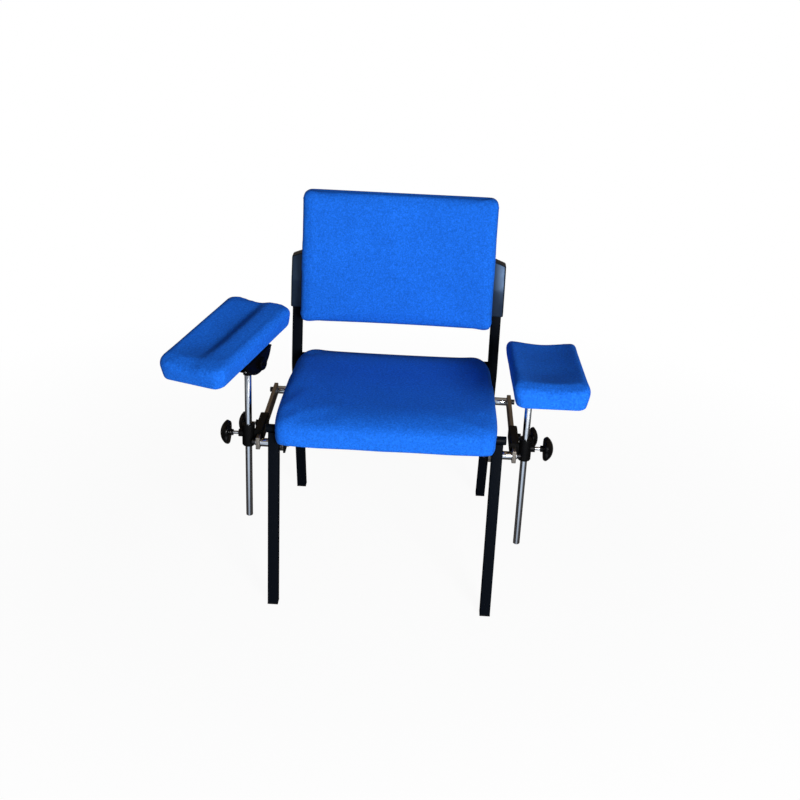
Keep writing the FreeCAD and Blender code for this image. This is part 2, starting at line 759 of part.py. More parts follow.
def rail_nuts():
    face_x = RAIL_OUTER_X - BRACKET_PLATE
    found = []
    for y in BOLT_YS:
        nut = hex_x(NUT_FLATS, face_x - NUT, face_x, y, BAR_MIDDLE_Z)
        found.append(nut.cut(rod_x(BOLT_D, face_x - NUT, face_x, y, BAR_MIDDLE_Z)))
    return found


def bracket_screw_places():
    x = RAIL_OUTER_X - BRACKET_PLATE - SMALL_HEAD_D / 2 - HOLE_CLEARANCE
    places = []
    for y in BOLT_YS:
        places.append((x, y - BRACKET_SCREW_HALF_SPACING))
        places.append((x, y + BRACKET_SCREW_HALF_SPACING))
    return places


def hanger_brackets():
    inner_x = RAIL_OUTER_X - RAIL_WIDTH
    found = []
    for y in BOLT_YS:
        y0 = y - BRACKET_LENGTH / 2
        y1 = y + BRACKET_LENGTH / 2
        drop = box(
            RAIL_OUTER_X - BRACKET_PLATE, RAIL_OUTER_X, y0, y1, BAR_BOTTOM_Z, RAIL_BOTTOM_Z)
        flat = box(inner_x, RAIL_OUTER_X, y0, y1, RAIL_BOTTOM_Z - BRACKET_PLATE, RAIL_BOTTOM_Z)
        bracket = drop.fuse(flat).removeSplitter().cut(bolt_hole(inner_x, RAIL_OUTER_X, y))
        for x, screw_y in bracket_screw_places():
            hole_d = SMALL_D + 2 * HOLE_CLEARANCE
            low_z = RAIL_BOTTOM_Z - BRACKET_PLATE
            bracket = bracket.cut(rod_z(hole_d, x, screw_y, low_z, RAIL_BOTTOM_Z))
        found.append(bracket)
    return found


def bracket_screws():
    found = []
    for x, y in bracket_screw_places():
        seat = Vector(x, y, RAIL_BOTTOM_Z - BRACKET_PLATE)
        shank = BRACKET_PLATE + SMALL_BITE
        found.append(screw(SMALL_HEAD_D, SMALL_HEAD, SMALL_D, shank, seat, Z_AXIS))
    return found


# Clamp and knobs

def clamp_barrel():
    """The round body about the post, with its rims rounded."""
    barrel = rod_z(BARREL_D, POST_X, POST_Y, BARREL_BOTTOM_Z, BARREL_TOP_Z)
    barrel = barrel.makeFillet(
        BARREL_BOTTOM_EDGE, [min(barrel.Edges, key=lambda edge: edge.BoundBox.ZMax)])
    return barrel.makeFillet(
        BARREL_TOP_EDGE, [max(barrel.Edges, key=lambda edge: edge.BoundBox.ZMin)])


def clamp_saddle():
    """A roof, an inner lip and an outer cheek about the bar, rounded along the top."""
    lip_x = OUTER_BAR_X - SADDLE_SLACK - SADDLE_LIP
    top_z = BAR_TOP_Z + SADDLE_SLACK + SADDLE_TOP
    low_z = BAR_TOP_Z - SADDLE_CHEEK_DROP
    hood = box(lip_x, SADDLE_FACE_X, SADDLE_FRONT_Y, SADDLE_REAR_Y, low_z, top_z)
    top_edges = []
    for edge in edges_along(hood, Y_AXIS):
        if edge.BoundBox.ZMin > BAR_TOP_Z:
            top_edges.append(edge)
    hood = hood.makeFillet(SADDLE_ROUND, top_edges)
    room = box(
        OUTER_BAR_X - SADDLE_SLACK, OUTER_BAR_FACE_X + SADDLE_SLACK, SADDLE_FRONT_Y,
        SADDLE_REAR_Y, low_z, BAR_TOP_Z + SADDLE_SLACK)
    below_lip = box(
        lip_x, OUTER_BAR_X, SADDLE_FRONT_Y, SADDLE_REAR_Y, low_z, BAR_TOP_Z - SADDLE_LIP_DROP)
    return hood.cut(room).cut(below_lip)


def clamp_body():
    outer_x = OUTER_BAR_FACE_X + SADDLE_SLACK
    bridge_half = BRIDGE_WIDTH / 2
    bridge = box(
        SADDLE_FACE_X - SADDLE_CHEEK / 2, POST_X, POST_Y + RUNNING_FIT - bridge_half / 2,
        POST_Y + bridge_half, BRIDGE_BOTTOM_Z, BAR_TOP_Z + SADDLE_SLACK + SADDLE_TOP / 2)
    barrel_boss = rod_x(BARREL_BOSS_D, POST_X, BARREL_BOSS_FACE_X, POST_Y, HEIGHT_STUD_Z)
    saddle_boss = rod_x(SADDLE_BOSS_D, outer_x, SADDLE_BOSS_FACE_X, RAIL_STUD_Y, BAR_MIDDLE_Z)
    body = fuse([clamp_barrel(), clamp_saddle(), bridge, barrel_boss, saddle_boss])
    bore = rod_z(POST_D + 2 * RUNNING_FIT, POST_X, POST_Y, BARREL_BOTTOM_Z, BARREL_TOP_Z)
    stud_hole_d = STUD_D + 2 * RUNNING_FIT
    height_hole = rod_x(stud_hole_d, POST_X, BARREL_BOSS_FACE_X, POST_Y, HEIGHT_STUD_Z)
    rail_hole = rod_x(stud_hole_d, outer_x, SADDLE_BOSS_FACE_X, RAIL_STUD_Y, BAR_MIDDLE_Z)
    return body.cut(bore).cut(height_hole).cut(rail_hole)


def height_stud():
    tip_x = POST_X + POST_D / 2 + SADDLE_SLACK
    end_x = BARREL_BOSS_FACE_X + HEIGHT_STUD_SHOWN + STUD_IN_KNOB
    return rod_x(STUD_D, tip_x, end_x, POST_Y, HEIGHT_STUD_Z)


def rail_stud():
    tip_x = OUTER_BAR_FACE_X + SADDLE_SLACK
    end_x = SADDLE_BOSS_FACE_X + RAIL_STUD_SHOWN + STUD_IN_KNOB
    return rod_x(STUD_D, tip_x, end_x, RAIL_STUD_Y, BAR_MIDDLE_Z)


def lobed_knob(diameter, length, face_x, y, z):
    """A domed knob on an axis along X, with its hub towards the chair."""
    radius = diameter / 2
    hub_r = radius * KNOB_HUB_SHARE
    hub_x = length * KNOB_HUB_LENGTH_SHARE
    edge = diameter * KNOB_EDGE_SHARE
    rim_x = hub_x + edge + (length - hub_x) * KNOB_RIM_SHARE
    dome = length - rim_x
    dome_r = (radius ** 2 + dome ** 2) / (2 * dome)
    half_turn = math.asin(radius / dome_r) / 2
    bow_x = length - dome_r + dome_r * math.cos(half_turn)
    bow_y = dome_r * math.sin(half_turn)
    edge_bow = edge * math.sqrt(0.5)
    curves = (
        Part.LineSegment(Vector(0, 0, 0), Vector(0, hub_r, 0)),
        Part.LineSegment(Vector(0, hub_r, 0), Vector(hub_x, hub_r, 0)),
        Part.LineSegment(Vector(hub_x, hub_r, 0), Vector(hub_x, radius - edge, 0)),
        Part.Arc(
            Vector(hub_x, radius - edge, 0),
            Vector(hub_x + edge - edge_bow, radius - edge + edge_bow, 0),
            Vector(hub_x + edge, radius, 0)),
        Part.LineSegment(Vector(hub_x + edge, radius, 0), Vector(rim_x, radius, 0)),
        Part.Arc(Vector(rim_x, radius, 0), Vector(bow_x, bow_y, 0), Vector(length, 0, 0)),
        Part.LineSegment(Vector(length, 0, 0), Vector(0, 0, 0)),
    )
    outline = Part.Wire([curve.toShape() for curve in curves])
    knob = Part.Face(outline).revolve(Vector(0, 0, 0), X_AXIS, 360)
    gap_place = radius * LOBE_GAP_PLACE_SHARE
    for index in range(KNOB_LOBES):
        angle = 2 * math.pi * index / KNOB_LOBES
        gap_y = gap_place * math.cos(angle)
        gap_z = gap_place * math.sin(angle)
        knob = knob.cut(rod_x(diameter * LOBE_GAP_D_SHARE, 0, length, gap_y, gap_z))
    socket = rod_x(STUD_D, 0, STUD_IN_KNOB, 0, 0)
    knob = knob.cut(socket)
    knob.translate(Vector(face_x, y, z))
    return knob


def height_knob():
    face_x = BARREL_BOSS_FACE_X + HEIGHT_STUD_SHOWN
    return lobed_knob(HEIGHT_KNOB_D, HEIGHT_KNOB, face_x, POST_Y, HEIGHT_STUD_Z)


def rail_knob():
    face_x = SADDLE_BOSS_FACE_X + RAIL_STUD_SHOWN
    return lobed_knob(RAIL_KNOB_D, RAIL_KNOB, face_x, RAIL_STUD_Y, BAR_MIDDLE_Z)


# Post, swivelling head and tilting pad. The head and pad pieces are built about the pivot: X points
# outwards, Y to the rear. The pad pieces are tipped first, then both are set on the post.

def post(pose):
    top_z = pose["pivot_z"] - POST_BELOW_PIVOT
    bar = rod_z(POST_D, POST_X, POST_Y, top_z - POST_LENGTH, top_z)
    low_edge = min(bar.Edges, key=lambda edge: edge.BoundBox.ZMax)
    bar = bar.makeChamfer(POST_CHAMFER, [low_edge])
    groove_z = top_z - GROOVE_BELOW_TOP - GROOVE_WIDTH
    ring = rod_z(POST_D, POST_X, POST_Y, groove_z, groove_z + GROOVE_WIDTH)
    core = rod_z(POST_D - 2 * GROOVE_DEPTH, POST_X, POST_Y, groove_z, groove_z + GROOVE_WIDTH)
    return bar.cut(ring.cut(core))


def set_on_post(shape, pose):
    turn = Rotation(Z_AXIS, pose["heading"])
    place = Placement(Vector(POST_X, POST_Y, pose["pivot_z"]), turn)
    shape.Placement = place.multiply(shape.Placement)
    return shape


def set_on_pivot(shape, pose):
    tip = Placement(Vector(0, PIVOT_SETBACK, 0), Rotation(X_AXIS, pose["tilt"]))
    shape.Placement = tip.multiply(shape.Placement)
    return set_on_post(shape, pose)


def tilt_head():
    half = CHEEK_GAP / 2 - KNUCKLE_SLACK
    top = COLLAR_CAP - POST_BELOW_PIVOT
    collar = rod_z(COLLAR_D, 0, 0, -POST_BELOW_PIVOT - COLLAR_GRIP, top)
    knuckle = rod_x(KNUCKLE_D, -half, half, PIVOT_SETBACK, 0)
    web = box(
        -WEB_WIDTH / 2, WEB_WIDTH / 2, 0, PIVOT_SETBACK, -WEB_TOP - WEB_DEPTH, -WEB_TOP)
    head = fuse([collar, knuckle, web])
    bore_d = POST_D + 2 * RUNNING_FIT
    bore = rod_z(bore_d, 0, 0, -POST_BELOW_PIVOT - COLLAR_GRIP, -POST_BELOW_PIVOT)
    pin_hole = rod_x(BOLT_D + 2 * RUNNING_FIT, -half, half, PIVOT_SETBACK, 0)
    return head.cut(bore).cut(pin_hole).cut(set_screw())


def set_screw():
    """A grub screw in the front of the collar, whose tip runs in the post's groove."""
    z = -POST_BELOW_PIVOT - GROOVE_BELOW_TOP - GROOVE_WIDTH / 2
    tip_y = -(POST_D / 2 - GROOVE_DEPTH + SET_SCREW_GAP)
    return rod(SET_SCREW_D, Vector(0, -COLLAR_D / 2, z), Vector(0, tip_y, z))


def cheek_outline(x):
    top = PAD_ABOVE_PIVOT - PLATE
    front = Vector(x, -CHEEK_FRONT_REACH, top)
    rear = Vector(x, CHEEK_REAR_REACH, top)
    arc = Part.Arc(front, Vector(x, 0, -BRACKET_DROP), rear).toShape()
    return Part.Face(Part.Wire([arc, Part.LineSegment(rear, front).toShape()]))


def tilt_bracket():
    inner_x = -CHEEK_GAP / 2 - CHEEK
    plate = box(
        inner_x, PLATE_REACH, -CHEEK_FRONT_REACH - PLATE_OVERHANG,
        CHEEK_REAR_REACH + PLATE_OVERHANG, PAD_ABOVE_PIVOT - PLATE, PAD_ABOVE_PIVOT)
    pieces = [plate]
    for x in (inner_x, CHEEK_GAP / 2):
        pieces.append(cheek_outline(x).extrude(Vector(CHEEK, 0, 0)))
    bracket = fuse(pieces).cut(rod_x(BOLT_D, inner_x, PLATE_REACH, 0, 0))
    for piece in pad_screws():
        bracket = bracket.cut(piece)
    return bracket


def tilt_bolt():
    face_x = CHEEK_GAP / 2 + CHEEK
    seat = Vector(face_x, 0, 0)
    shank = 2 * face_x + LOCK_NUT + BOLT_OVERRUN
    return screw(BOLT_HEAD_D, BOLT_HEAD, BOLT_D, shank, seat, X_AXIS * -1)


def lock_nut():
    face_x = -CHEEK_GAP / 2 - CHEEK - LOCK_NUT_SLACK
    nut = rod_x(LOCK_NUT_D, face_x - LOCK_NUT, face_x, 0, 0)
    nut = nut.makeChamfer(LOCK_NUT_EDGE, [min(nut.Edges, key=lambda edge: edge.BoundBox.XMax)])
    for index in range(LOCK_NUT_GROOVES):
        angle = 2 * math.pi * index / LOCK_NUT_GROOVES
        groove_y = LOCK_NUT_D / 2 * math.cos(angle)
        groove_z = LOCK_NUT_D / 2 * math.sin(angle)
        nut = nut.cut(rod_x(LOCK_NUT_GROOVE_D, face_x - LOCK_NUT, face_x, groove_y, groove_z))
    return nut.cut(rod_x(BOLT_D + 2 * RUNNING_FIT, face_x - LOCK_NUT, face_x, 0, 0))


def pad_screws():
    found = []
    for x in PAD_SCREW_X:
        for y in (-PAD_SCREW_HALF_SPACING, PAD_SCREW_HALF_SPACING):
            seat = Vector(x, y, PAD_ABOVE_PIVOT - PLATE)
            shank = PLATE + PAD_SCREW_BITE
            found.append(screw(
                PAD_SCREW_HEAD_D, PAD_SCREW_HEAD, PAD_SCREW_D, shank, seat, Z_AXIS))
    return found


def arm_board_blank(offset):
    half = ARM_WIDTH / 2 - ARM_BOARD_INSET
    reach = ARM_LENGTH / 2 - ARM_BOARD_INSET
    return rounded_box(
        offset - half, offset + half, ARM_BEHIND_PIVOT - reach, ARM_BEHIND_PIVOT + reach,
        PAD_ABOVE_PIVOT, PAD_ABOVE_PIVOT + ARM_BOARD, ARM_BOARD_CORNER)


def arm_board(pose):
    board = arm_board_blank(pose["offset"])
    for piece in pad_screws():
        board = board.cut(piece)
    return board


def arm_pad(pose):
    pad = long_pad(
        ARM_WIDTH, ARM_LENGTH, ARM_PAD, ARM_CORNER, ARM_SHOULDER, ARM_DISH_ANGLE, ARM_END_DROP)
    pad.translate(Vector(pose["offset"], ARM_BEHIND_PIVOT - ARM_LENGTH / 2, PAD_ABOVE_PIVOT))
    return pad.cut(arm_board_blank(pose["offset"]))


# Assembly

def frame_nodes():
    nodes = {
        "front_cross_tube": [front_cross_tube()],
        "rear_cross_tube": [rear_cross_tube()],
        "cross_tube_plugs": both_sides(cross_tube_plug()),
        "foot_inserts": both_sides(front_foot()) + both_sides(rear_foot()),
        "seat_board": [seat_board()],
        "seat_pad": [seat_pad()],
        "seat_screws": [],
        "back_board": [back_board()],
        "back_pad": [back_pad()],
        "back_shell": [back_shell()],
        "back_screws": [on_back(piece) for piece in back_screws()],
        "sleeve_screws": both_sides(sleeve_screw()),
        "hanger_brackets": [],
        "bracket_screws": [],
        "rail_bolts": [],
        "rail_washers": [],
        "rail_nuts": [],
    }
    groups = {
        "seat_screws": seat_screws(),
        "hanger_brackets": hanger_brackets(),
        "bracket_screws": bracket_screws(),
        "rail_bolts": rail_bolts(),
        "rail_washers": rail_washers(),
        "rail_nuts": rail_nuts(),
    }
    for name, pieces in groups.items():
        for piece in pieces:
            nodes[name] += both_sides(piece)
    return nodes


def side_nodes(side):
    """Nodes of one side, built on the right and mirrored for the left."""
    pose = ARM_POSES[side]
    shapes = {
        "front_leg": [front_leg()],
        "rear_leg": [rear_leg()],
        "upright_sleeve": [upright_sleeve()],
        "seat_rail": [seat_rail()],
        "inner_bar": [side_bar(INNER_BAR_X)],
        "arm_rail": [side_bar(OUTER_BAR_X)],
        "rail_spacers": spacers(),
        "clamp_body": [clamp_body()],
        "rail_lock_stud": [rail_stud()],
        "rail_lock_knob": [rail_knob()],
        "height_lock_stud": [height_stud()],
        "height_lock_knob": [height_knob()],
        "arm_post": [post(pose)],
        "swivel_head": [set_on_post(tilt_head(), pose)],
        "swivel_screw": [set_on_post(set_screw(), pose)],
        "tilt_bracket": [set_on_pivot(tilt_bracket(), pose)],
        "tilt_bolt": [set_on_pivot(tilt_bolt(), pose)],
        "tilt_lock_nut": [set_on_pivot(lock_nut(), pose)],
        "arm_board_screws": [set_on_pivot(piece, pose) for piece in pad_screws()],
        "arm_board": [set_on_pivot(arm_board(pose), pose)],
        "arm_pad": [set_on_pivot(arm_pad(pose), pose)],
    }
    nodes = {}
    for name, pieces in shapes.items():
        if side == "left":
            pieces = [mirrored(piece) for piece in pieces]
        nodes[name + "_" + side] = pieces
    return nodes


def main():
    os.makedirs("parts", exist_ok=True)
    nodes = frame_nodes()
    nodes.update(side_nodes("left"))
    nodes.update(side_nodes("right"))
    whole = FreeCAD.BoundBox()
    for name, pieces in nodes.items():
        solids = []
        for piece in pieces:
            piece.translate(Vector(MIDDLE_X, FRONT_FACE_Y, 0))
            solids += piece.Solids
        shape = solids[0] if len(solids) == 1 else Part.makeCompound(solids)
        if not shape.isValid():
            print("not valid:", name)
        if len(solids) != len(pieces):
            print("solids in", name, len(solids), "of", len(pieces))
        whole.add(shape.BoundBox)
        shape.exportStep("parts/" + name + ".step")
    print(len(nodes), "nodes")
    print("box", whole)


main()
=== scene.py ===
# %% [markdown]
# # A phlebotomy chair
# The real object is a clinic chair for taking blood. A frame of black square tube carries a blue
# seat and back, and on each side a flat steel rail holds a clamp, a bright post and a padded arm
# rest. The rigid frame comes from the CAD model. This lesson dresses it: soft parts are simulated,
# moulded parts are worked out as surfaces, and every finish is built from nodes.

# %% Load the CAD frame and bake each node's place into its mesh
import bmesh
import bpy
import math
import numpy as np
from mathutils import Matrix, Vector


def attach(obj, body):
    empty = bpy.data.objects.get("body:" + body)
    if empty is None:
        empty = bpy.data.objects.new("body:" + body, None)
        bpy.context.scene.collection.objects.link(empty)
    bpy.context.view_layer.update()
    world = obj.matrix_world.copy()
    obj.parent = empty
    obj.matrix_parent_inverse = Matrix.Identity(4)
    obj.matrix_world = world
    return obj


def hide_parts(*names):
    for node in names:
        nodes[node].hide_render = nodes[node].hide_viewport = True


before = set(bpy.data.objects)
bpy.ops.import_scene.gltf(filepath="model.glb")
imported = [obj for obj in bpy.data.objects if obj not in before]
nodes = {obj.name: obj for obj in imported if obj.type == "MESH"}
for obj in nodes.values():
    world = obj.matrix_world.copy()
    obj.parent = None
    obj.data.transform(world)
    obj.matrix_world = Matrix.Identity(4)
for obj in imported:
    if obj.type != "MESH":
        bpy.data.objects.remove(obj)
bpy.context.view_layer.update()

# %% [markdown]
# ## Places on the chair
# The chair was drawn in millimetres with x = 0 on its middle plane and y = 0 on the front face of
# the front legs. The frame of the scene is in metres with its origin under the middle of the
# whole footprint, so one shift and one factor turn a drawn place into a place in the scene.

# %% Shift from the drawing to the scene
MIDDLE = np.array([33.5, -268.5, 0.0])
MM = 0.001
SIDES = {"left": -1.0, "right": 1.0}
X, Y, Z = np.eye(3)


def placed(points):
    """Metres in the scene from millimetres on the drawing: (point + shift) / 1000."""
    return (np.asarray(points, float) + MIDDLE) * MM


print("front of the seat at y =", round(placed([0, -36, 0])[1], 4))

# %% [markdown]
# ## Camera
# The photograph was taken from eye height, a little to the right, with the camera turned by two
# and a half degrees. The chair's straight tubes gave the lens and the place, by least squares on
# their edges, so the camera here needs no shift and no further cropping.

# %% The camera that matches the photograph
EYE = (0.1212, -2.7287, 1.6493)
YAW, PITCH, ROLL = (math.radians(angle) for angle in (-1.363, 24.171, 2.499))
LENS, SENSOR = 54.6, 36.0

forward = Vector((math.sin(YAW) * math.cos(PITCH), math.cos(YAW) * math.cos(PITCH),
                  -math.sin(PITCH)))
level = Vector((math.cos(YAW), -math.sin(YAW), 0.0))
upward = level.cross(forward)
right = math.cos(ROLL) * level + math.sin(ROLL) * upward
upright = math.cos(ROLL) * upward - math.sin(ROLL) * level
lens = bpy.data.cameras.new("camera")
lens.lens, lens.sensor_width, lens.clip_end = LENS, SENSOR, 120.0
camera = bpy.data.objects.new("camera", lens)
turn = Matrix((right, upright, -forward)).transposed().to_4x4()
camera.matrix_world = Matrix.Translation(EYE) @ turn
bpy.context.scene.collection.objects.link(camera)
bpy.context.scene.camera = camera
bpy.context.scene.view_settings.view_transform = "Standard"
print("camera", EYE, "lens", LENS)

# %% [markdown]
# ## Studio
# The picture has a white ground. A shader can be white for the camera and for mirrors, yet dim
# for the light that falls on the chair, because Light Path tells the rays apart. So the ground
# stays white without more lamp light, which would wash the colours out. For mirrors it is white
# in front of the chair and a dim brown behind it, and the floor is white only near the chair.
# That gives the bright posts their dark edges and keeps the lower half of the sleeves black.

# %% One function that adds a node, and one that turns a written colour into light
def add(tree, kind, inputs=None, **settings):
    """Adds a node, sets its properties, and gives each named input a value or a link."""
    made = tree.nodes.new(kind)
    for name, value in settings.items():
        setattr(made, name, value)
    for name, value in (inputs or {}).items():
        if isinstance(value, bpy.types.NodeSocket):
            tree.links.new(value, made.inputs[name])
        else:
            made.inputs[name].default_value = value
    return made


def hex_colour(code):
    """Linear light from an sRGB code such as 1E5FD0, by the sRGB curve, channel by channel."""
    levels = np.array([int(code[i:i + 2], 16) for i in (0, 2, 4)]) / 255.0
    linear = np.where(levels <= 0.04045, levels / 12.92, ((levels + 0.055) / 1.055) ** 2.4)
    return (*[float(v) for v in linear], 1.0)


print("mid blue in light:", [round(v, 3) for v in hex_colour("1B5AC8")])

# %% White ground for the camera and for mirrors, soft light for the rest
world = bpy.data.worlds.new("studio")
bpy.context.scene.world = world
world.use_nodes = True
sky = world.node_tree
sky.nodes.clear()
rays = add(sky, "ShaderNodeLightPath")
seen = add(sky, "ShaderNodeMath", {0: rays.outputs["Is Camera Ray"],
                                   1: rays.outputs["Is Transmission Ray"]},
           operation="MAXIMUM")
facing = add(sky, "ShaderNodeTexCoord")
apart = add(sky, "ShaderNodeSeparateXYZ", {"Vector": facing.outputs["Generated"]})
ahead = add(sky, "ShaderNodeMapRange", {"Value": apart.outputs["Y"], "From Min": -0.95,
                                        "From Max": -0.65, "To Min": 1.0, "To Max": 0.0})
tint = add(sky, "ShaderNodeMix", {"Factor": ahead.outputs[0], 6: hex_colour("7E705F"),
                                  7: hex_colour("F2F7FF")}, data_type="RGBA")
fill = add(sky, "ShaderNodeBackground", {"Color": hex_colour("F4F7FF"), "Strength": 0.08})
mirror = add(sky, "ShaderNodeBackground", {"Color": tint.outputs[2], "Strength": 0.95})
white = add(sky, "ShaderNodeBackground", {"Color": hex_colour("FFFFFF"), "Strength": 1.0})
lit = add(sky, "ShaderNodeMixShader", {"Fac": rays.outputs["Is Glossy Ray"],
                                       1: fill.outputs[0], 2: mirror.outputs[0]})
ground = add(sky, "ShaderNodeMixShader", {"Fac": seen.outputs[0],
                                          1: lit.outputs[0], 2: white.outputs[0]})
add(sky, "ShaderNodeOutputWorld", {"Surface": ground.outputs[0]})
print("world made")

# %% The floor: white to the camera, with the chair's soft shadow kept close to it
FLOOR_REACH = 50.0
SHADOW_FADES, MIRROR_FADES = (0.7, 1.8), (1.9, 2.6)
floor_mesh = bpy.data.meshes.new("floor")
floor_mesh.from_pydata([(x, y, 0.0) for x, y in FLOOR_REACH * np.array(
    [(-1, -1), (1, -1), (1, 1), (-1, 1)])], [], [(0, 1, 2, 3)])
floor = bpy.data.objects.new("floor", floor_mesh)
bpy.context.scene.collection.objects.link(floor)
paper = bpy.data.materials.new("white_paper_floor")
paper.use_nodes = True
sheet = paper.node_tree
sheet.nodes.clear()
rays = add(sheet, "ShaderNodeLightPath")
spot = add(sheet, "ShaderNodeNewGeometry")
apart = add(sheet, "ShaderNodeSeparateXYZ", {"Vector": spot.outputs["Incoming"]})
ahead = add(sheet, "ShaderNodeMapRange", {"Value": apart.outputs["Y"], "From Min": 0.62,
                                          "From Max": 0.90, "To Min": 0.0, "To Max": 1.0})
dim = add(sheet, "ShaderNodeMix", {"Factor": ahead.outputs[0], 6: hex_colour("352C24"),
                                   7: hex_colour("EAF3FF")}, data_type="RGBA")
tint = add(sheet, "ShaderNodeMix", {"Factor": rays.outputs["Is Glossy Ray"],
                                    6: hex_colour("FFFFFF"), 7: dim.outputs[2]},
           data_type="RGBA")
away = add(sheet, "ShaderNodeVectorMath", {0: spot.outputs["Position"]}, operation="LENGTH")
far = add(sheet, "ShaderNodeMapRange", {
    "Value": away.outputs["Value"], "From Min": MIRROR_FADES[0], "From Max": MIRROR_FADES[1],
    "To Min": 0.9, "To Max": 0.02})
plain = add(sheet, "ShaderNodeMapRange", {
    "Value": away.outputs["Value"], "From Min": SHADOW_FADES[0], "From Max": SHADOW_FADES[1],
    "To Min": 0.94, "To Max": 1.0})
seen = add(sheet, "ShaderNodeMath", {0: rays.outputs["Is Camera Ray"], 1: plain.outputs[0]},
           operation="MULTIPLY")
share = add(sheet, "ShaderNodeMath", {0: rays.outputs["Is Glossy Ray"], 1: far.outputs[0],
                                      2: seen.outputs[0]}, operation="MULTIPLY_ADD")
matt = add(sheet, "ShaderNodeBsdfDiffuse", {"Color": hex_colour("E8E8E8")})
glow = add(sheet, "ShaderNodeEmission", {"Color": tint.outputs[2]})
mixed = add(sheet, "ShaderNodeMixShader", {"Fac": share.outputs[0],
                                           1: matt.outputs[0], 2: glow.outputs[0]})
add(sheet, "ShaderNodeOutputMaterial", {"Surface": mixed.outputs[0]})
floor_mesh.materials.append(paper)
print("floor", 2 * FLOOR_REACH, "m square")

# %% [markdown]
# ## Lamps
# The photograph's light comes from beside the camera, low and from the right: faces that look to
# the front are bright, level faces are dark, and faces that look left are darkest. One large soft
# lamp does that, a weak one opens the shadows on the left, and one above keeps the rear edges.

# %% Three area lamps
def lamp(name, place, target, size, power):
    """A square area lamp that looks from its place to its target."""
    light = bpy.data.lights.new(name, "AREA")
    light.shape, light.size, light.energy = "SQUARE", size, power
    holder = bpy.data.objects.new(name, light)
    aim = (Vector(target) - Vector(place)).to_track_quat("-Z", "Y")
    holder.matrix_world = Matrix.Translation(place) @ aim.to_matrix().to_4x4()
    bpy.context.scene.collection.objects.link(holder)
    return holder


lamp("front_lamp", (1.4, -3.2, 1.5), (0.0, 0.0, 0.55), 1.0, 141.0)
lamp("left_lamp", (-2.2, -2.6, 1.4), (0.0, 0.0, 0.5), 1.6, 9.0)
lamp("top_lamp", (0.3, 0.2, 3.0), (0.0, 0.0, 0.5), 1.8, 1.5)
print("three lamps")

# %% [markdown]
# ## Surfaces from arrays
# Most rigid pieces are a closed outline carried along a line. Each station of the line places the
# outline with two directions, and the stations together are one array of points. Rings of faces
# join the stations, and a flat face closes each end.

# %% A piece from one or more grids of points
def grid_faces(rows, columns, start):
    """Faces between neighbouring rings of points, and one face on each end."""
    row, column = np.meshgrid(np.arange(rows - 1), np.arange(columns), indexing="ij")
    after = (column + 1) % columns
    quads = np.stack([row * columns + column, row * columns + after,
                      (row + 1) * columns + after, (row + 1) * columns + column], axis=-1)
    faces = (quads.reshape(-1, 4) + start).tolist()
    faces.append((np.arange(columns)[::-1] + start).tolist())
    faces.append((np.arange(columns) + (rows - 1) * columns + start).tolist())
    return faces


def turned_outwards(mesh, gap=1e-6):
    """Merges doubled points, then turns every face to look out of the shape."""
    work = bmesh.new()
    work.from_mesh(mesh)
    bmesh.ops.remove_doubles(work, verts=work.verts, dist=gap)
    bmesh.ops.recalc_face_normals(work, faces=work.faces)
    work.to_mesh(mesh)
    work.free()


def piece_from(name, grids):
    """One object from several closed grids in scene metres, smooth except at sharp edges."""
    points, faces, start = [], [], 0
    for grid in grids:
        rows, columns = grid.shape[:2]
        faces += grid_faces(rows, columns, start)
        points.append(grid.reshape(-1, 3))
        start += rows * columns
    mesh = bpy.data.meshes.new(name)
    mesh.from_pydata(np.concatenate(points).tolist(), [], faces)
    turned_outwards(mesh)
    mesh.shade_smooth()
    mesh.set_sharp_from_angle(angle=math.radians(35))
    piece = bpy.data.objects.new(name, mesh)
    bpy.context.scene.collection.objects.link(piece)
    return piece


print("a ring of 4 over 3 stations has", len(grid_faces(3, 4, 0)), "faces")

# %% Outlines, lines, and the outline carried along the line
EDGE_STEPS = 5


def unit(vectors):
    """Directions of length one."""
    vectors = np.asarray(vectors, float)
    return vectors / np.linalg.norm(vectors, axis=-1, keepdims=True)


def square_outline(width, depth, corner, steps=5):
    """Points round a rectangle whose corners are quarter circles, and their outward normals."""
    angles = np.linspace(0, math.pi / 2, steps)
    round_all = np.concatenate([angles + k * math.pi / 2 for k in range(4)])
    normal = np.stack([np.cos(round_all), np.sin(round_all)], axis=1)
    signs = np.repeat([[1, 1], [-1, 1], [-1, -1], [1, -1]], steps, axis=0)
    return signs * np.array([width / 2 - corner, depth / 2 - corner]) + corner * normal, normal


def straight(start, end):
    """A line of two stations and its direction at each."""
    points = np.array([start, end], float)
    return points, np.repeat(unit(points[1:] - points[:1]), 2, axis=0)


def bent(corners, radius, steps=8):
    """
    A line of straight runs joined by arcs. An arc that starts at p along a, and bends towards n,
    is p + a r sin t + n r (1 - cos t), with t from 0 to the angle between the two runs.
    """
    corners = np.asarray(corners, float)
    runs = unit(np.diff(corners, axis=0))
    points, tangents = [corners[:1]], [runs[:1]]
    for corner, run, after in zip(corners[1:-1], runs[:-1], runs[1:]):
        angle = math.acos(float(run @ after))
        inner = unit(after - (after @ run) * run)
        start = corner - run * radius * math.tan(angle / 2)
        t = np.linspace(0, angle, steps)[:, None]
        points.append(start + run * radius * np.sin(t) + inner * radius * (1 - np.cos(t)))
        tangents.append(run * np.cos(t) + inner * np.sin(t))
    return (np.concatenate([*points, corners[-1:]]), np.concatenate([*tangents, runs[-1:]]))


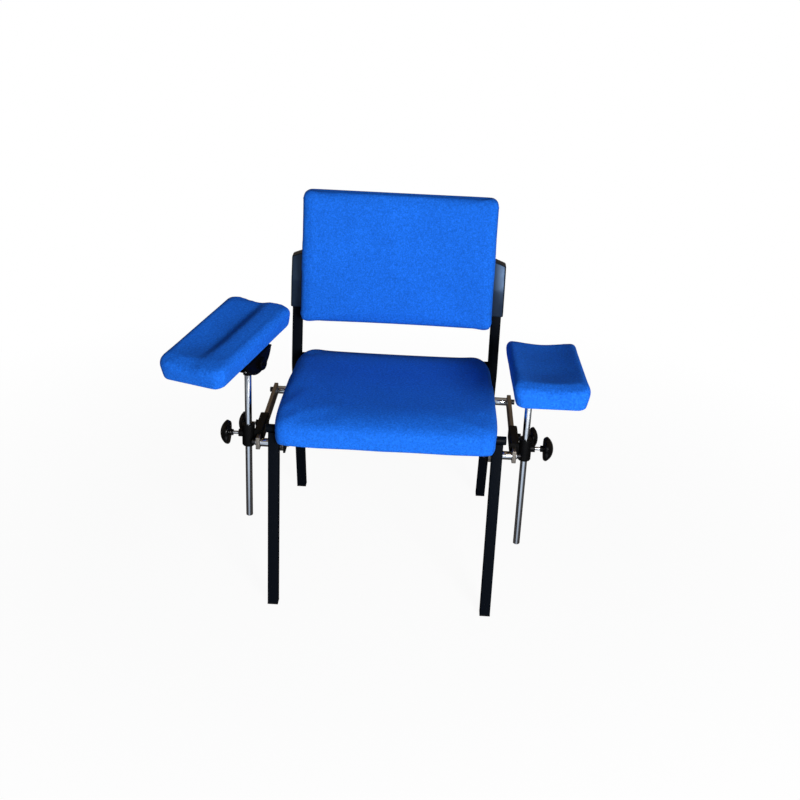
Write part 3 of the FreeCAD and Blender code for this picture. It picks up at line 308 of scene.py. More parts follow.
def carried(outline, line, across, edge, low=None, high=None):
    """
    Carries an outline along a line: point = station + u across + v upwards, where upwards stands
    square to both. Each end lies on a plane, given as a point and a normal that looks outwards:
    its points slide along the line by ((q - p) . n) / (t . n). The last rings sink by
    edge (1 - cos a) while the outline draws in by edge (1 - sin a), which rounds the end off.
    """
    flat, normal = outline
    points, tangents = line
    across = np.asarray(across, float)
    low = low or (points[0], -tangents[0])
    high = high or (points[-1], tangents[-1])
    turns = np.linspace(0, math.pi / 2, EDGE_STEPS)

    def ring(station, tangent, drawn, plane=None):
        upwards = np.cross(tangent, across)
        shrunk = flat - drawn * normal
        made = station + shrunk[:, :1] * across + shrunk[:, 1:] * upwards
        if plane is None:
            return made
        point, outward = plane
        return made + np.outer((point - made) @ outward / (tangent @ outward), tangent)

    rings = []
    for turn in turns:
        drawn, sunk = edge * (1 - math.sin(turn)), edge * (1 - math.cos(turn))
        rings.append(ring(points[0], tangents[0], drawn,
                          (low[0] - sunk * np.asarray(low[1]), low[1])))
    rings += [ring(p, t, 0.0) for p, t in zip(points[1:-1], tangents[1:-1])]
    for turn in turns[::-1]:
        drawn, sunk = edge * (1 - math.sin(turn)), edge * (1 - math.cos(turn))
        rings.append(ring(points[-1], tangents[-1], drawn,
                          (high[0] - sunk * np.asarray(high[1]), high[1])))
    return np.array(rings)


print("points round a tube:", len(square_outline(25, 25, 3)[0]))

# %% A piece that stands for CAD nodes and wears a finish
FINISHES = {}


def dressed(piece, body, slot, *stands_for, finish=None):
    """Puts a finish on a piece, lets it ride on a body, and says which nodes it stands for."""
    piece.data.materials.clear()
    piece.data.materials.append(FINISHES[finish or slot])
    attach(piece, body)
    if stands_for:
        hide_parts(*stands_for)
    return piece


def finish(name, base, **surface):
    """
    A material with one Principled shader. Returns its tree, its shader and the place on the
    object in metres, which every pattern reads.
    """
    made = bpy.data.materials.new(name)
    made.use_nodes = True
    tree = made.node_tree
    shader = tree.nodes["Principled BSDF"]
    shader.inputs["Base Color"].default_value = hex_colour(base)
    for socket, value in surface.items():
        shader.inputs[socket.replace("_", " ")].default_value = value
    place = add(tree, "ShaderNodeTexCoord").outputs["Object"]
    return made, tree, shader, place


def per_mm(size):
    """Scale of a texture whose features are to be this many millimetres apart."""
    return 1.0 / (size * MM)


print("one feature every 2 mm is a scale of", per_mm(2.0))

# %% [markdown]
# ## Blue upholstery
# The covers are a woven wool crepe: a matt cloth of twisted yarns whose tiny hills and hollows
# look mottled from a few paces away. Sheen lightens it where it turns away from the eye. A knot of
# yarn is about 1 mm across and drawn at 1.7 mm, so that it still shows at the picture's size. The
# shade in the hollows between the knots is painted into the colour, which darkens towards each
# knot's edge.

# %% Woven wool crepe
made, tree, shader, place = finish(
    "woven_wool_crepe", "1868DC", Roughness=0.9, IOR=1.46, Specular_IOR_Level=0.10,
    Sheen_Weight=0.07, Sheen_Roughness=0.5)
shader.inputs["Sheen Tint"].default_value = hex_colour("5C9BFF")
mottle = add(tree, "ShaderNodeTexNoise", {"Vector": place, "Scale": per_mm(4.2), "Detail": 4.0,
                                          "Roughness": 0.7})
yarn = add(tree, "ShaderNodeTexVoronoi", {"Vector": place, "Scale": per_mm(1.7)})
tone = add(tree, "ShaderNodeTexNoise", {"Vector": place, "Scale": per_mm(90.0), "Detail": 2.0})
blues = add(tree, "ShaderNodeValToRGB", {"Fac": mottle.outputs["Fac"]})
blues.color_ramp.elements[0].position = 0.30
blues.color_ramp.elements[0].color = hex_colour("1256BC")
blues.color_ramp.elements[1].position = 0.70
blues.color_ramp.elements[1].color = hex_colour("247AF4")
middle = blues.color_ramp.elements.new(0.5)
middle.color = hex_colour("1868DC")
# Painted shade: the colour darkens from 1.04 to 0.88 between the yarn knots, in the weave's
# hollows.
painted_yarn_shade = add(tree, "ShaderNodeMapRange", {"Value": yarn.outputs["Distance"], "From Min": 0.1,
                                        "From Max": 0.75, "To Min": 1.04, "To Max": 0.88})
worn = add(tree, "ShaderNodeMapRange", {"Value": tone.outputs["Fac"], "From Min": 0.3,
                                        "From Max": 0.7, "To Min": 0.95, "To Max": 1.05})
value = add(tree, "ShaderNodeMath", {0: painted_yarn_shade.outputs[0], 1: worn.outputs[0]},
            operation="MULTIPLY")
cloth = add(tree, "ShaderNodeVectorMath", {0: blues.outputs["Color"], "Scale": value.outputs[0]},
            operation="SCALE")
tree.links.new(cloth.outputs["Vector"], shader.inputs["Base Color"])
height = add(tree, "ShaderNodeMath", {0: mottle.outputs["Fac"], 1: yarn.outputs["Distance"]},
             operation="SUBTRACT")
bump = add(tree, "ShaderNodeBump", {"Height": height.outputs[0], "Distance": 0.35 * MM,
                                    "Strength": 0.5})
tree.links.new(bump.outputs["Normal"], shader.inputs["Normal"])
FINISHES["blue_fabric"] = made
print("crepe: mottle 4.2 mm, yarn 1.7 mm")

# %% [markdown]
# ## Black powder coat
# The tubes are steel under baked polyester powder. It flows into a skin with a faint orange peel,
# about 3 mm from hill to hill, with a satin gloss. The photograph shows it as a very dark navy.

# %% Powder coat for the tubes and brackets
def powder_coat(name, base, rough):
    """Baked powder paint: a dark base, orange peel 3 mm across, and a fine grit of 0.7 mm."""
    made, tree, shader, place = finish(name, base, Roughness=rough, IOR=1.5,
                                       Specular_IOR_Level=0.04)
    peel = add(tree, "ShaderNodeTexNoise", {"Vector": place, "Scale": per_mm(3.0),
                                            "Detail": 2.0})
    grit = add(tree, "ShaderNodeTexNoise", {"Vector": place, "Scale": per_mm(0.7)})
    dust = add(tree, "ShaderNodeTexNoise", {"Vector": place, "Scale": per_mm(60.0),
                                            "Detail": 3.0})
    satin = add(tree, "ShaderNodeMapRange", {"Value": dust.outputs["Fac"], "From Min": 0.3,
                                             "From Max": 0.7, "To Min": rough - 0.05,
                                             "To Max": rough + 0.08})
    tree.links.new(satin.outputs[0], shader.inputs["Roughness"])
    height = add(tree, "ShaderNodeMath", {0: grit.outputs["Fac"], 1: 0.35,
                                          2: peel.outputs["Fac"]}, operation="MULTIPLY_ADD")
    bump = add(tree, "ShaderNodeBump", {"Height": height.outputs[0], "Distance": 0.12 * MM,
                                        "Strength": 0.5})
    tree.links.new(bump.outputs["Normal"], shader.inputs["Normal"])
    return made


FINISHES["frame_black"] = powder_coat("black_powder_coat", "060A11", 0.40)
FINISHES["bracket_black"] = powder_coat("black_bracket_coat", "050507", 0.38)
print("powder coat: peel 3 mm")

# %% [markdown]
# ## Bright metals
# The rails are rolled flat steel, whose rolling leaves fine lines along the bar. The posts are
# chrome plated and polished. Screws and studs are zinc plated, which is duller and slightly
# mottled. The four rail bolts are blackened.

# %% Rolled steel, chrome plate, zinc plate and black oxide
def metal(name, base, shade, rough, spread, size, stretch=(1.0, 1.0, 1.0), rim="FFFFFF"):
    """
    A metal whose colour and roughness wander with one noise, stretched along the work. The rim
    colour is painted into its reflection where it turns away from the eye, so a dark one paints
    dark edges.
    """
    made, tree, shader, place = finish(name, base, Roughness=rough, Metallic=1.0)
    shader.inputs["Specular Tint"].default_value = hex_colour(rim)
    along = add(tree, "ShaderNodeMapping", {"Vector": place, "Scale": stretch})
    lines = add(tree, "ShaderNodeTexNoise", {"Vector": along.outputs[0],
                                             "Scale": per_mm(size), "Detail": 5.0})
    tint = add(tree, "ShaderNodeMix", {"Factor": lines.outputs["Fac"], 6: hex_colour(base),
                                       7: hex_colour(shade)}, data_type="RGBA")
    tree.links.new(tint.outputs[2], shader.inputs["Base Color"])
    dull = add(tree, "ShaderNodeMapRange", {"Value": lines.outputs["Fac"], "From Min": 0.25,
                                            "From Max": 0.75, "To Min": rough,
                                            "To Max": rough + spread})
    tree.links.new(dull.outputs[0], shader.inputs["Roughness"])
    bump = add(tree, "ShaderNodeBump", {"Height": lines.outputs["Fac"], "Distance": 0.03 * MM,
                                        "Strength": 0.35})
    tree.links.new(bump.outputs["Normal"], shader.inputs["Normal"])
    return made


FINISHES["bar_steel"] = metal("rolled_flat_steel", "A79F95", "746C64", 0.28, 0.16, 1.4,
                              (1.0, 0.04, 1.0))
# Painted reflection: the dark rim colour 3C4046 darkens the posts' edges where they turn from the
# eye.
FINISHES["post_chrome"] = metal("polished_chrome_plate", "DDE3EA", "BCC4CE", 0.09, 0.08, 14.0,
                                rim="3C4046")
FINISHES["zinc_steel"] = metal("bright_zinc_plate", "C6C9CC", "9FA3A8", 0.30, 0.18, 5.0)
FINISHES["black_oxide"] = metal("black_oxide_steel", "3A3A3C", "232326", 0.38, 0.15, 3.0)
print("four metals")

# %% [markdown]
# ## Moulded plastics
# Clamps are glass filled nylon with a fine eroded grain. The knobs are phenolic, harder and half
# glossy. The sleeves and the back shell are a dark slate polypropylene whose reflections get a
# painted cold blue tint, and the plugs and foot caps are a black one. Both have a coarser leather
# grain.

# %% Nylon, phenolic and polypropylene
def moulded(name, base, rough, grain, depth, level=0.5, shine_colour="FFFFFF"):
    """A moulded plastic: its grain is a Voronoi pattern of the given size, pressed in."""
    made, tree, shader, place = finish(name, base, Roughness=rough, IOR=1.5,
                                       Specular_IOR_Level=level)
    shader.inputs["Specular Tint"].default_value = hex_colour(shine_colour)
    cells = add(tree, "ShaderNodeTexVoronoi", {"Vector": place, "Scale": per_mm(grain)},
                feature="SMOOTH_F1")
    flow = add(tree, "ShaderNodeTexNoise", {"Vector": place, "Scale": per_mm(35.0),
                                            "Detail": 3.0})
    shine = add(tree, "ShaderNodeMapRange", {"Value": flow.outputs["Fac"], "From Min": 0.3,
                                             "From Max": 0.7, "To Min": rough - 0.05,
                                             "To Max": rough + 0.06})
    tree.links.new(shine.outputs[0], shader.inputs["Roughness"])
    bump = add(tree, "ShaderNodeBump", {"Height": cells.outputs["Distance"],
                                        "Distance": depth * MM, "Strength": 0.6})
    tree.links.new(bump.outputs["Normal"], shader.inputs["Normal"])
    return made


FINISHES["clamp_black"] = moulded("glass_filled_nylon", "060607", 0.42, 0.9, 0.06, 0.08)
FINISHES["knob_black"] = moulded("moulded_phenolic", "050506", 0.30, 6.0, 0.03, 0.16)
# Painted reflection: the pale blue shine colour A8CCFF tints the slate shell's reflections cold.
FINISHES["shell_slate"] = moulded("grained_polypropylene", "0C1521", 0.38, 1.6, 0.06, 0.60,
                                  "A8CCFF")
FINISHES["foot_black"] = moulded("black_polypropylene", "090A0D", 0.48, 1.6, 0.10, 0.10)
print("four plastics")

# %% [markdown]
# ## Birch plywood
# The boards inside the pads show only from below. Birch plywood is pale, with long soft grain on
# its faces and thin dark glue lines on its edges.

# %% Birch plywood
made, tree, shader, place = finish("birch_plywood", "CFA878", Roughness=0.62, IOR=1.5)
along = add(tree, "ShaderNodeMapping", {"Vector": place, "Scale": (1.0, 0.08, 1.0)})
grain = add(tree, "ShaderNodeTexNoise", {"Vector": along.outputs[0], "Scale": per_mm(6.0),
                                         "Detail": 5.0, "Distortion": 0.6})
wood = add(tree, "ShaderNodeValToRGB", {"Fac": grain.outputs["Fac"]})
wood.color_ramp.elements[0].position = 0.32
wood.color_ramp.elements[0].color = hex_colour("A97E4E")
wood.color_ramp.elements[1].position = 0.62
wood.color_ramp.elements[1].color = hex_colour("D9B586")
tree.links.new(wood.outputs["Color"], shader.inputs["Base Color"])
bump = add(tree, "ShaderNodeBump", {"Height": grain.outputs["Fac"], "Distance": 0.1 * MM,
                                    "Strength": 0.4})
tree.links.new(bump.outputs["Normal"], shader.inputs["Normal"])
FINISHES["plywood"] = made
print("plywood: grain 6 mm across, 75 mm long")

# %% [markdown]
# ## Square tube legs
# Bent square tube never has knife edges: 25 mm tube is rolled with corners of about 3 mm, which
# catch a line of light. Each leg is that outline carried along its middle line. The rear legs
# bend at the seat and again near the top, with a radius of 60 mm.

# %% Front and rear legs
TUBE, TUBE_CORNER = 25.0, 3.0
LEG_X, LEG_FOOT_Z = 254.0, 4.0
FRONT_TOP_Z, FRONT_SLOPE = 446.0, 0.045
KNEE = (452.5, 432.0)
REAR_SLOPE, UPRIGHT_SLOPE, HEAD_SLOPE = 0.321, 0.105, 0.268
HEAD_BEND_Z, UPRIGHT_TOP_Z = 653.0, 708.0
BEND_RADIUS = 60.0

knee_y, knee_z = KNEE
bend_y = knee_y + UPRIGHT_SLOPE * (HEAD_BEND_Z - knee_z)
top_y = bend_y + HEAD_SLOPE * (UPRIGHT_TOP_Z - HEAD_BEND_Z)
rear_line = [(knee_y + REAR_SLOPE * knee_z, 0.0), KNEE, (bend_y, HEAD_BEND_Z),
             (top_y, UPRIGHT_TOP_Z)]
tube = square_outline(TUBE, TUBE, TUBE_CORNER)
floor_plane = (np.array([0.0, 0.0, LEG_FOOT_Z]), -Z)

for side, sign in SIDES.items():
    x = sign * LEG_X
    foot_y = TUBE / 2 - FRONT_SLOPE * FRONT_TOP_Z
    line = straight((x, foot_y, 0.0), (x, TUBE / 2, FRONT_TOP_Z))
    grid = carried(tube, line, X, 0.6, low=floor_plane,
                   high=(np.array([0.0, 0.0, FRONT_TOP_Z]), Z))
    dressed(piece_from("front_leg_tube_" + side, [placed(grid)]),
            "frame", "frame_black", "front_leg_" + side)
    line = bent([(x, y, z) for y, z in rear_line], BEND_RADIUS)
    grid = carried(tube, line, X, 0.6, low=floor_plane)
    dressed(piece_from("rear_leg_tube_" + side, [placed(grid)]),
            "frame", "frame_black", "rear_leg_" + side)
print("four legs, uprights to z =", UPRIGHT_TOP_Z, "mm")

# %% [markdown]
# ## Sleeves and shell behind the back pad
# A moulded sleeve slides over the top of each upright, and an ear joins it to the panel that
# covers the back of the pad. The sleeve is a larger outline carried along the same bent line, cut
# by a plane that rises towards the pad. The panel is a stack of scaled outlines whose height
# follows a low crown, so it closes in one smooth cap.

# %% Sleeves with their ears
SLEEVE, SLEEVE_CORNER, SLEEVE_EDGE = 34.0, 5.0, 2.5
SLEEVE_BOTTOM_Z, SLEEVE_TOP_Z, SLEEVE_TILT = 587.0, 714.0, math.radians(20.0)
EAR_START, EAR_LENGTH, EAR_REACH, EAR_DEPTH = 35.0, 100.0, 45.0, 12.0
BACK_FOOT, BACK_TURN = (438.6, 566.0), math.radians(90.0 - 7.6)
SHELL = 5.0


def on_back(points):
    """Stands points that lie flat, with z out of the cushion, on the leaning back."""
    points = np.asarray(points, float)
    c, s = math.cos(BACK_TURN), math.sin(BACK_TURN)
    y, z = points[..., 1], points[..., 2]
    return np.stack([points[..., 0], BACK_FOOT[0] + y * c - z * s,
                     BACK_FOOT[1] + y * s + z * c], axis=-1)


def block(low, high, corner, edge):
    """A box between two corners, with round upright edges and rounded ends."""
    low, high = np.asarray(low, float), np.asarray(high, float)
    middle, size = (low + high) / 2, high - low
    line = straight((middle[0], middle[1], low[2]), (middle[0], middle[1], high[2]))
    return carried(square_outline(size[0], size[1], corner), line, X, edge)


for side, sign in SIDES.items():
    head = unit([0.0, HEAD_SLOPE, 1.0])
    corners = [(sign * LEG_X, y, z) for y, z in rear_line]
    corners[-1] = tuple(np.array(corners[-1]) + head * SLEEVE)
    grid = carried(square_outline(SLEEVE, SLEEVE, SLEEVE_CORNER), bent(corners[1:], BEND_RADIUS),
                   X, SLEEVE_EDGE, low=(np.array([0, 0, SLEEVE_BOTTOM_Z]), -Z),
                   high=(np.array([sign * (LEG_X + SLEEVE / 2), knee_y, SLEEVE_TOP_Z]),
                         np.array([sign * math.sin(SLEEVE_TILT), 0.0, math.cos(SLEEVE_TILT)])))
    inner = LEG_X - SLEEVE / 2 - EAR_REACH
    xs = sorted((sign * inner, sign * (LEG_X - SLEEVE / 2 + 4.0)))
    ear = on_back(block((xs[0], EAR_START, -SHELL - EAR_DEPTH),
                        (xs[1], EAR_START + EAR_LENGTH, -SHELL), 4.0, 2.0))
    dressed(piece_from("back_sleeve_" + side, [placed(grid), placed(ear)]),
            "frame", "shell_slate", "upright_sleeve_" + side)
print("two sleeves")

# %% The panel behind the back pad
BACK_WIDTH, BACK_LENGTH, SHELL_INSET, SHELL_CORNER = 480.0, 326.0, 10.0, 26.0
SHELL_EDGE, SHELL_CROWN = 2.5, 1.5


def crowned_panel(width, length, corner, thickness, edge, crown):
    """
    A panel that lies on z = 0 and thickens to -z. Its rim draws in by a quarter round, then the
    outline shrinks by factors s from 1 to 0 while the height follows crown (1 - s squared).
    """
    flat, normal = square_outline(width, length, corner, 7)
    turns = np.linspace(0, math.pi / 2, EDGE_STEPS)
    rings = [np.column_stack([flat, np.zeros(len(flat))])]
    for turn in turns:
        drawn = edge * (1 - math.cos(turn))
        height = -(thickness - edge) - edge * math.sin(turn)
        rings.append(np.column_stack([flat - drawn * normal, np.full(len(flat), height)]))
    rim = flat - edge * normal
    for share in np.linspace(0.97, 0.02, 16):
        height = -thickness - crown * (1 - share ** 2)
        rings.append(np.column_stack([rim * share, np.full(len(flat), height)]))
    return np.array(rings)


panel = crowned_panel(BACK_WIDTH - 2 * SHELL_INSET, BACK_LENGTH - 2 * SHELL_INSET,
                      SHELL_CORNER, SHELL, SHELL_EDGE, SHELL_CROWN)
panel[..., 1] += BACK_LENGTH / 2
dressed(piece_from("back_panel", [placed(on_back(panel))]), "frame", "shell_slate",
        "back_shell")
print("panel", BACK_WIDTH - 2 * SHELL_INSET, "mm wide")

# %% [markdown]
# ## Side rails
# Each side has two flat bars of 30 by 10 mm rolled steel, held apart by round spacers. Rolled
# flat bar has edges of about a millimetre, and the sawn ends of the outer bar are rounded over.

# %% Inner and outer rails
BAR_THICKNESS, BAR_HEIGHT, BAR_BOTTOM_Z = 10.0, 30.0, 381.0
BAR_FRONT_Y, BAR_LENGTH = 42.0, 324.0
INNER_BAR_X, OUTER_BAR_X = 236.0, 291.0

for side, sign in SIDES.items():
    for kind, x, node in (("inner_rail_", INNER_BAR_X, "inner_bar_"),
                          ("outer_rail_", OUTER_BAR_X, "arm_rail_")):
        middle = (sign * (x + BAR_THICKNESS / 2), BAR_BOTTOM_Z + BAR_HEIGHT / 2)
        line = straight((middle[0], BAR_FRONT_Y, middle[1]),
                        (middle[0], BAR_FRONT_Y + BAR_LENGTH, middle[1]))
        grid = carried(square_outline(BAR_THICKNESS, BAR_HEIGHT, 1.4), line, X, 1.2)
        dressed(piece_from(kind + side, [placed(grid)]), "frame", "bar_steel", node + side)
print("four bars,", BAR_LENGTH, "mm long")

# %% [markdown]
# ## Lobed knobs
# A star knob is turned as a mushroom, with a flat back, a thin rim and a low domed cap, and then
# scalloped for the fingers. Here the radius at each angle is the turned radius less a smooth
# wave, strongest at the rim and gone at the neck, so the lobes stay soft as on a moulded knob.

# %% Turned profile with scallops
LOBES, LOBE_DEPTH = 6, 0.12
KNOBS = {
    "height": {"size": 60.0, "length": 30.0, "face": 357.0, "y": 72.0, "z": 408.0},
    "rail": {"size": 56.0, "length": 25.0, "face": 332.3, "y": 152.0, "z": 396.0},
}


def knob_profile(radius, length):
    """
    Stations (along, radius) of a neck, a flat back, a round rim and a cap. The cap is part of a
    ball: one of height h over radius r belongs to a ball of radius (r r + h h) / 2 h.
    """
    neck, start, edge = 0.25 * radius, 0.25 * length, 0.22 * radius
    rim = start + edge + 0.06 * (length - start)
    turns = np.linspace(0, math.pi / 2, 6)
    under = np.stack([start + edge * (1 - np.cos(turns)),
                      radius - edge + edge * np.sin(turns)], axis=1)
    rise = length - rim
    ball = (radius ** 2 + rise ** 2) / (2 * rise)
    leans = np.linspace(math.asin(radius / ball), 0.012, 14)
    cap = np.stack([length - ball + ball * np.cos(leans), ball * np.sin(leans)], axis=1)
    foot = np.array([[0.0, neck * 0.92], [0.5, neck], [start * 0.75, neck],
                     [start * 0.95, neck * 1.1], [start, neck * 1.35]])
    return np.concatenate([foot, under, cap])


def lobed_knob(radius, length, columns=120):
    """
    Rings of the profile round the x axis. Radius = profile (1 - depth wave weight), where the
    wave is a power of (1 + cos 6 t) / 2 and the weight grows with the profile's own radius.
    """
    profile = knob_profile(radius, length)
    angles = np.linspace(0, 2 * math.pi, columns, endpoint=False)
    wave = ((1 + np.cos(LOBES * angles)) / 2) ** 1.5
    weight = np.clip((profile[:, 1] / radius - 0.4) / 0.6, 0, 1) ** 1.2
    reach = profile[:, 1:] * (1 - LOBE_DEPTH * weight[:, None] * wave[None])
    along = np.broadcast_to(profile[:, :1], reach.shape)
    return np.stack([along, reach * np.cos(angles), reach * np.sin(angles)], axis=-1)


for side, sign in SIDES.items():
    for kind, k in KNOBS.items():
        grid = lobed_knob(k["size"] / 2, k["length"])
        grid = grid * np.array([sign, 1, 1]) + np.array([sign * k["face"], k["y"], k["z"]])
        dressed(piece_from(f"{kind}_knob_{side}", [placed(grid)]), f"{kind}_knob_{side}",
                "knob_black", f"{kind}_lock_knob_{side}")
print("four knobs with", LOBES, "lobes")

# %% [markdown]
# ## CAD nodes that keep their shape
# A CAD mesh is loose triangles with knife edges. Three modifiers make it look machined or cast
# and leave the mesh itself alone: Weld joins the triangles, Decimate melts the flat ones together,
# and Bevel rounds what is left.

# %% Finish and edge of each remaining node
def kept(name, slot, edge, finish_name=None, segments=3):
    """A CAD node with a finish, and with its edges rounded by live modifiers."""
    node = nodes[name]
    node.data.materials.clear()
    node.data.materials.append(FINISHES[finish_name or slot])
    weld = node.modifiers.new("joined", "WELD")
    weld.merge_threshold = 0.002 * MM
    melt = node.modifiers.new("melted", "DECIMATE")
    melt.decimate_type, melt.angle_limit = "DISSOLVE", math.radians(0.5)
    if edge:
        round_off = node.modifiers.new("rounded", "BEVEL")
        round_off.width, round_off.segments = edge * MM, segments
        round_off.limit_method, round_off.angle_limit = "ANGLE", math.radians(40)
        round_off.harden_normals = False


KEPT = (
    ("front_cross_tube rear_cross_tube", "frame_black", 0.4, None),
    ("seat_rail_", "frame_black", 1.2, None),
    ("cross_tube_plugs", "shell_slate", 0.8, "foot_black"),
    ("foot_inserts", "shell_slate", 1.0, "foot_black"),
    ("seat_board back_board arm_board_", "plywood", 0.5, None),
    ("seat_screws back_screws sleeve_screws bracket_screws arm_board_screws_", "zinc_steel", 0.6,
     None),
    ("hanger_brackets", "bracket_black", 1.0, None),
    ("rail_bolts", "zinc_steel", 0.7, "black_oxide"),
    ("rail_washers rail_nuts", "zinc_steel", 0.3, None),
    ("rail_spacers_", "zinc_steel", 0.5, "post_chrome"),
    ("clamp_body_", "clamp_black", 1.2, None),
    ("rail_lock_stud_ height_lock_stud_ swivel_screw_", "zinc_steel", 0.4, None),
    ("tilt_bolt_ tilt_lock_nut_", "bracket_black", 0.4, None),
    ("arm_post_", "post_chrome", 0.6, None),
    ("swivel_head_", "bracket_black", 1.0, None),
)
for names, slot, edge, finish_name in KEPT:
    for stem in names.split():
        for name in ([stem + side for side in SIDES] if stem.endswith("_") else [stem]):
            kept(name, slot, edge, finish_name)
print("kept nodes dressed")

# %% [markdown]
# ## Upholstery
# A pad is foam on a board with cloth drawn over it. The cloth pulls the foam's edges round and
# the foam swells the cloth's faces. That is what a cloth simulation with inside pressure does, so
# each pad is a copy of its CAD solid, laid flat, remeshed into even quads, smoothed, and blown
# up. How far a point may move is capped, so the dish and the gutters stay and no fold appears.

# %% Remesh, inflate, cap
CLOTH_FRAMES, SMOOTHINGS, STIFFNESS, AIR_PRESSURE = 20, 6, 40.0, 4.0


def coordinates(mesh):
    """The points of a mesh as an array of rows."""
    flat = np.empty(len(mesh.vertices) * 3)
    mesh.vertices.foreach_get("co", flat)
    return flat.reshape(-1, 3)


def set_coordinates(mesh, points):
    """Writes an array of rows into a mesh."""
    mesh.vertices.foreach_set("co", np.ascontiguousarray(points, float).ravel())
    mesh.update()


def evaluated(piece):
    """A new mesh: the piece as its modifiers leave it at the present frame."""
    graph = bpy.context.evaluated_depsgraph_get()
    return bpy.data.meshes.new_from_object(piece.evaluated_get(graph))


def applied(piece, modifier):
    """Gives the piece the mesh that its modifier makes, and takes the modifier away."""
    mesh = evaluated(piece)
    piece.modifiers.remove(modifier)
    piece.data = mesh


def softened(piece):
    """Moves each point halfway to the middle of its neighbours, several times."""
    soft = piece.modifiers.new("soft", "SMOOTH")
    soft.factor, soft.iterations = 0.5, SMOOTHINGS
    applied(piece, soft)


def inflated(piece, held, cap):
    """
    Runs Cloth for 20 frames with air pressure and no gravity. Points in the held mask stay, and
    every other point keeps at most the capped part of its travel, scaled point by point.
    """
    start = coordinates(piece.data)
    group = piece.vertex_groups.new(name="held")
    group.add(np.flatnonzero(held).tolist(), 1.0, "REPLACE")
    cloth = piece.modifiers.new("cloth", "CLOTH")
    cloth.settings.use_pressure = True
    cloth.settings.uniform_pressure_force = AIR_PRESSURE
    cloth.settings.quality = 5
    cloth.settings.bending_stiffness = STIFFNESS
    cloth.settings.vertex_group_mass = "held"
    cloth.settings.effector_weights.gravity = 0.0
    cloth.point_cache.frame_start, cloth.point_cache.frame_end = 1, CLOTH_FRAMES
    for number in range(1, CLOTH_FRAMES + 1):
        bpy.context.scene.frame_set(number)
    swollen = evaluated(piece)
    travel = coordinates(swollen) - start
    length = np.linalg.norm(travel, axis=1)
    kept_share = np.minimum(1.0, cap / np.maximum(length, 1e-9))
    piece.modifiers.remove(cloth)
    piece.vertex_groups.clear()
    bpy.data.meshes.remove(swollen)
    bpy.context.scene.frame_set(1)
    set_coordinates(piece.data, start + travel * kept_share[:, None])
    print(piece.name, "swelled by", round(float(length.max()) * 1000, 1), "mm, kept",
          round(float((length * kept_share).max()) * 1000, 1), "mm")


def flat_copy(name, node, into_flat):
    """A copy of a CAD node, merged and moved by a 4 by 4 matrix into the frame it is sewn in."""
    mesh = nodes[node].data.copy()
    mesh.name = name
    turned_outwards(mesh, 1e-5)
    mesh.transform(into_flat)
    piece = bpy.data.objects.new(name, mesh)
    bpy.context.scene.collection.objects.link(piece)
    return piece


def fitted(points, low, high):
    """Scales points so that their box becomes the given one: the cover is cut to the pad."""
    start, end = points.min(axis=0), points.max(axis=0)
    return low + (points - start) * (high - low) / (end - start)


def eased(share):
    """0 below 0, 1 above 1, and 3 s s - 2 s s s between."""
    share = np.clip(share, 0, 1)
    return share * share * (3 - 2 * share)


def eased_from(values, ends):
    """The eased share of the way from the first end to the second."""
    return eased((values - ends[0]) / (ends[1] - ends[0]))


def cushion(name, node, out_of_flat, is_held, *, voxel, swell, cap, shaped=None,
            sag=(0.0, 0.0, 0.0)):
    """
    A simulated pad that stands for a CAD pad. Sizes in millimetres. One function says which of
    the flat points are held on the board, and another may shape the foam before the cloth runs.
    The cap is the most that a point may travel. The box of the pad stays that of the CAD solid,
    plus a swelling on all sides but the lowest, and a sag on the side to which the foam hangs.
    """
    piece = flat_copy(name, node, out_of_flat.inverted())
    solid = coordinates(piece.data)
    low, high = solid.min(axis=0), solid.max(axis=0)
    even = piece.modifiers.new("even", "REMESH")
    even.mode, even.voxel_size, even.use_smooth_shade = "VOXEL", voxel * MM, True
    applied(piece, even)
    if shaped:
        set_coordinates(piece.data, shaped(coordinates(piece.data) / MM) * MM)
    softened(piece)
    held = is_held(coordinates(piece.data) / MM)
    inflated(piece, held, cap * MM)
    softened(piece)
    mesh = piece.data
    hang = np.array([swell, swell, 0.0]) + sag
    set_coordinates(mesh, fitted(coordinates(mesh), low - hang * MM, high + swell * MM))
    mesh.transform(out_of_flat)
    mesh.shade_smooth()
    fine = piece.modifiers.new("fine", "SUBSURF")
    fine.levels = fine.render_levels = 1
    print(name, len(mesh.polygons), "faces before the subdivision")
    return piece


print("cloth runs", CLOTH_FRAMES, "frames")

# %% Seat and back pads
def out_of(origin, turns):
    """A matrix that turns a flat pad about its axes and sets it at a drawn place."""
    made = Matrix.Translation(placed(origin))
    for axis, angle in turns:
        made = made @ Matrix.Rotation(math.radians(angle), 4, axis)
    return made


SEAT_BASE_Z, BOARD_TOP_Z, LIP_REAR_Y = 429.0, 474.0, -5.0
SEAT_CORNER_X, SEAT_CORNER_Y, SEAT_CORNER_RISE = (170.0, 220.0), (370.0, 430.0), 5.0
SEAT_UPPER_SIDE, BACK_BOARD_TOP = (35.0, 45.0), 11.5


def on_seat_board(points):
    """Points low enough to lie on the board, behind the lip that hangs over the front tube."""
    return (points[:, 2] < BOARD_TOP_Z - SEAT_BASE_Z + 1.5) & (points[:, 1] > LIP_REAR_Y + 1.0)


def seat_foam(points):
    """Fills the two rear corners of the seat by a few millimetres, on the upper side only."""
    x, y, z = points.T
    share = (eased_from(np.abs(x), SEAT_CORNER_X) * eased_from(y, SEAT_CORNER_Y)
             * eased_from(z, SEAT_UPPER_SIDE))
    return np.stack([x, y, z + SEAT_CORNER_RISE * share], axis=1)


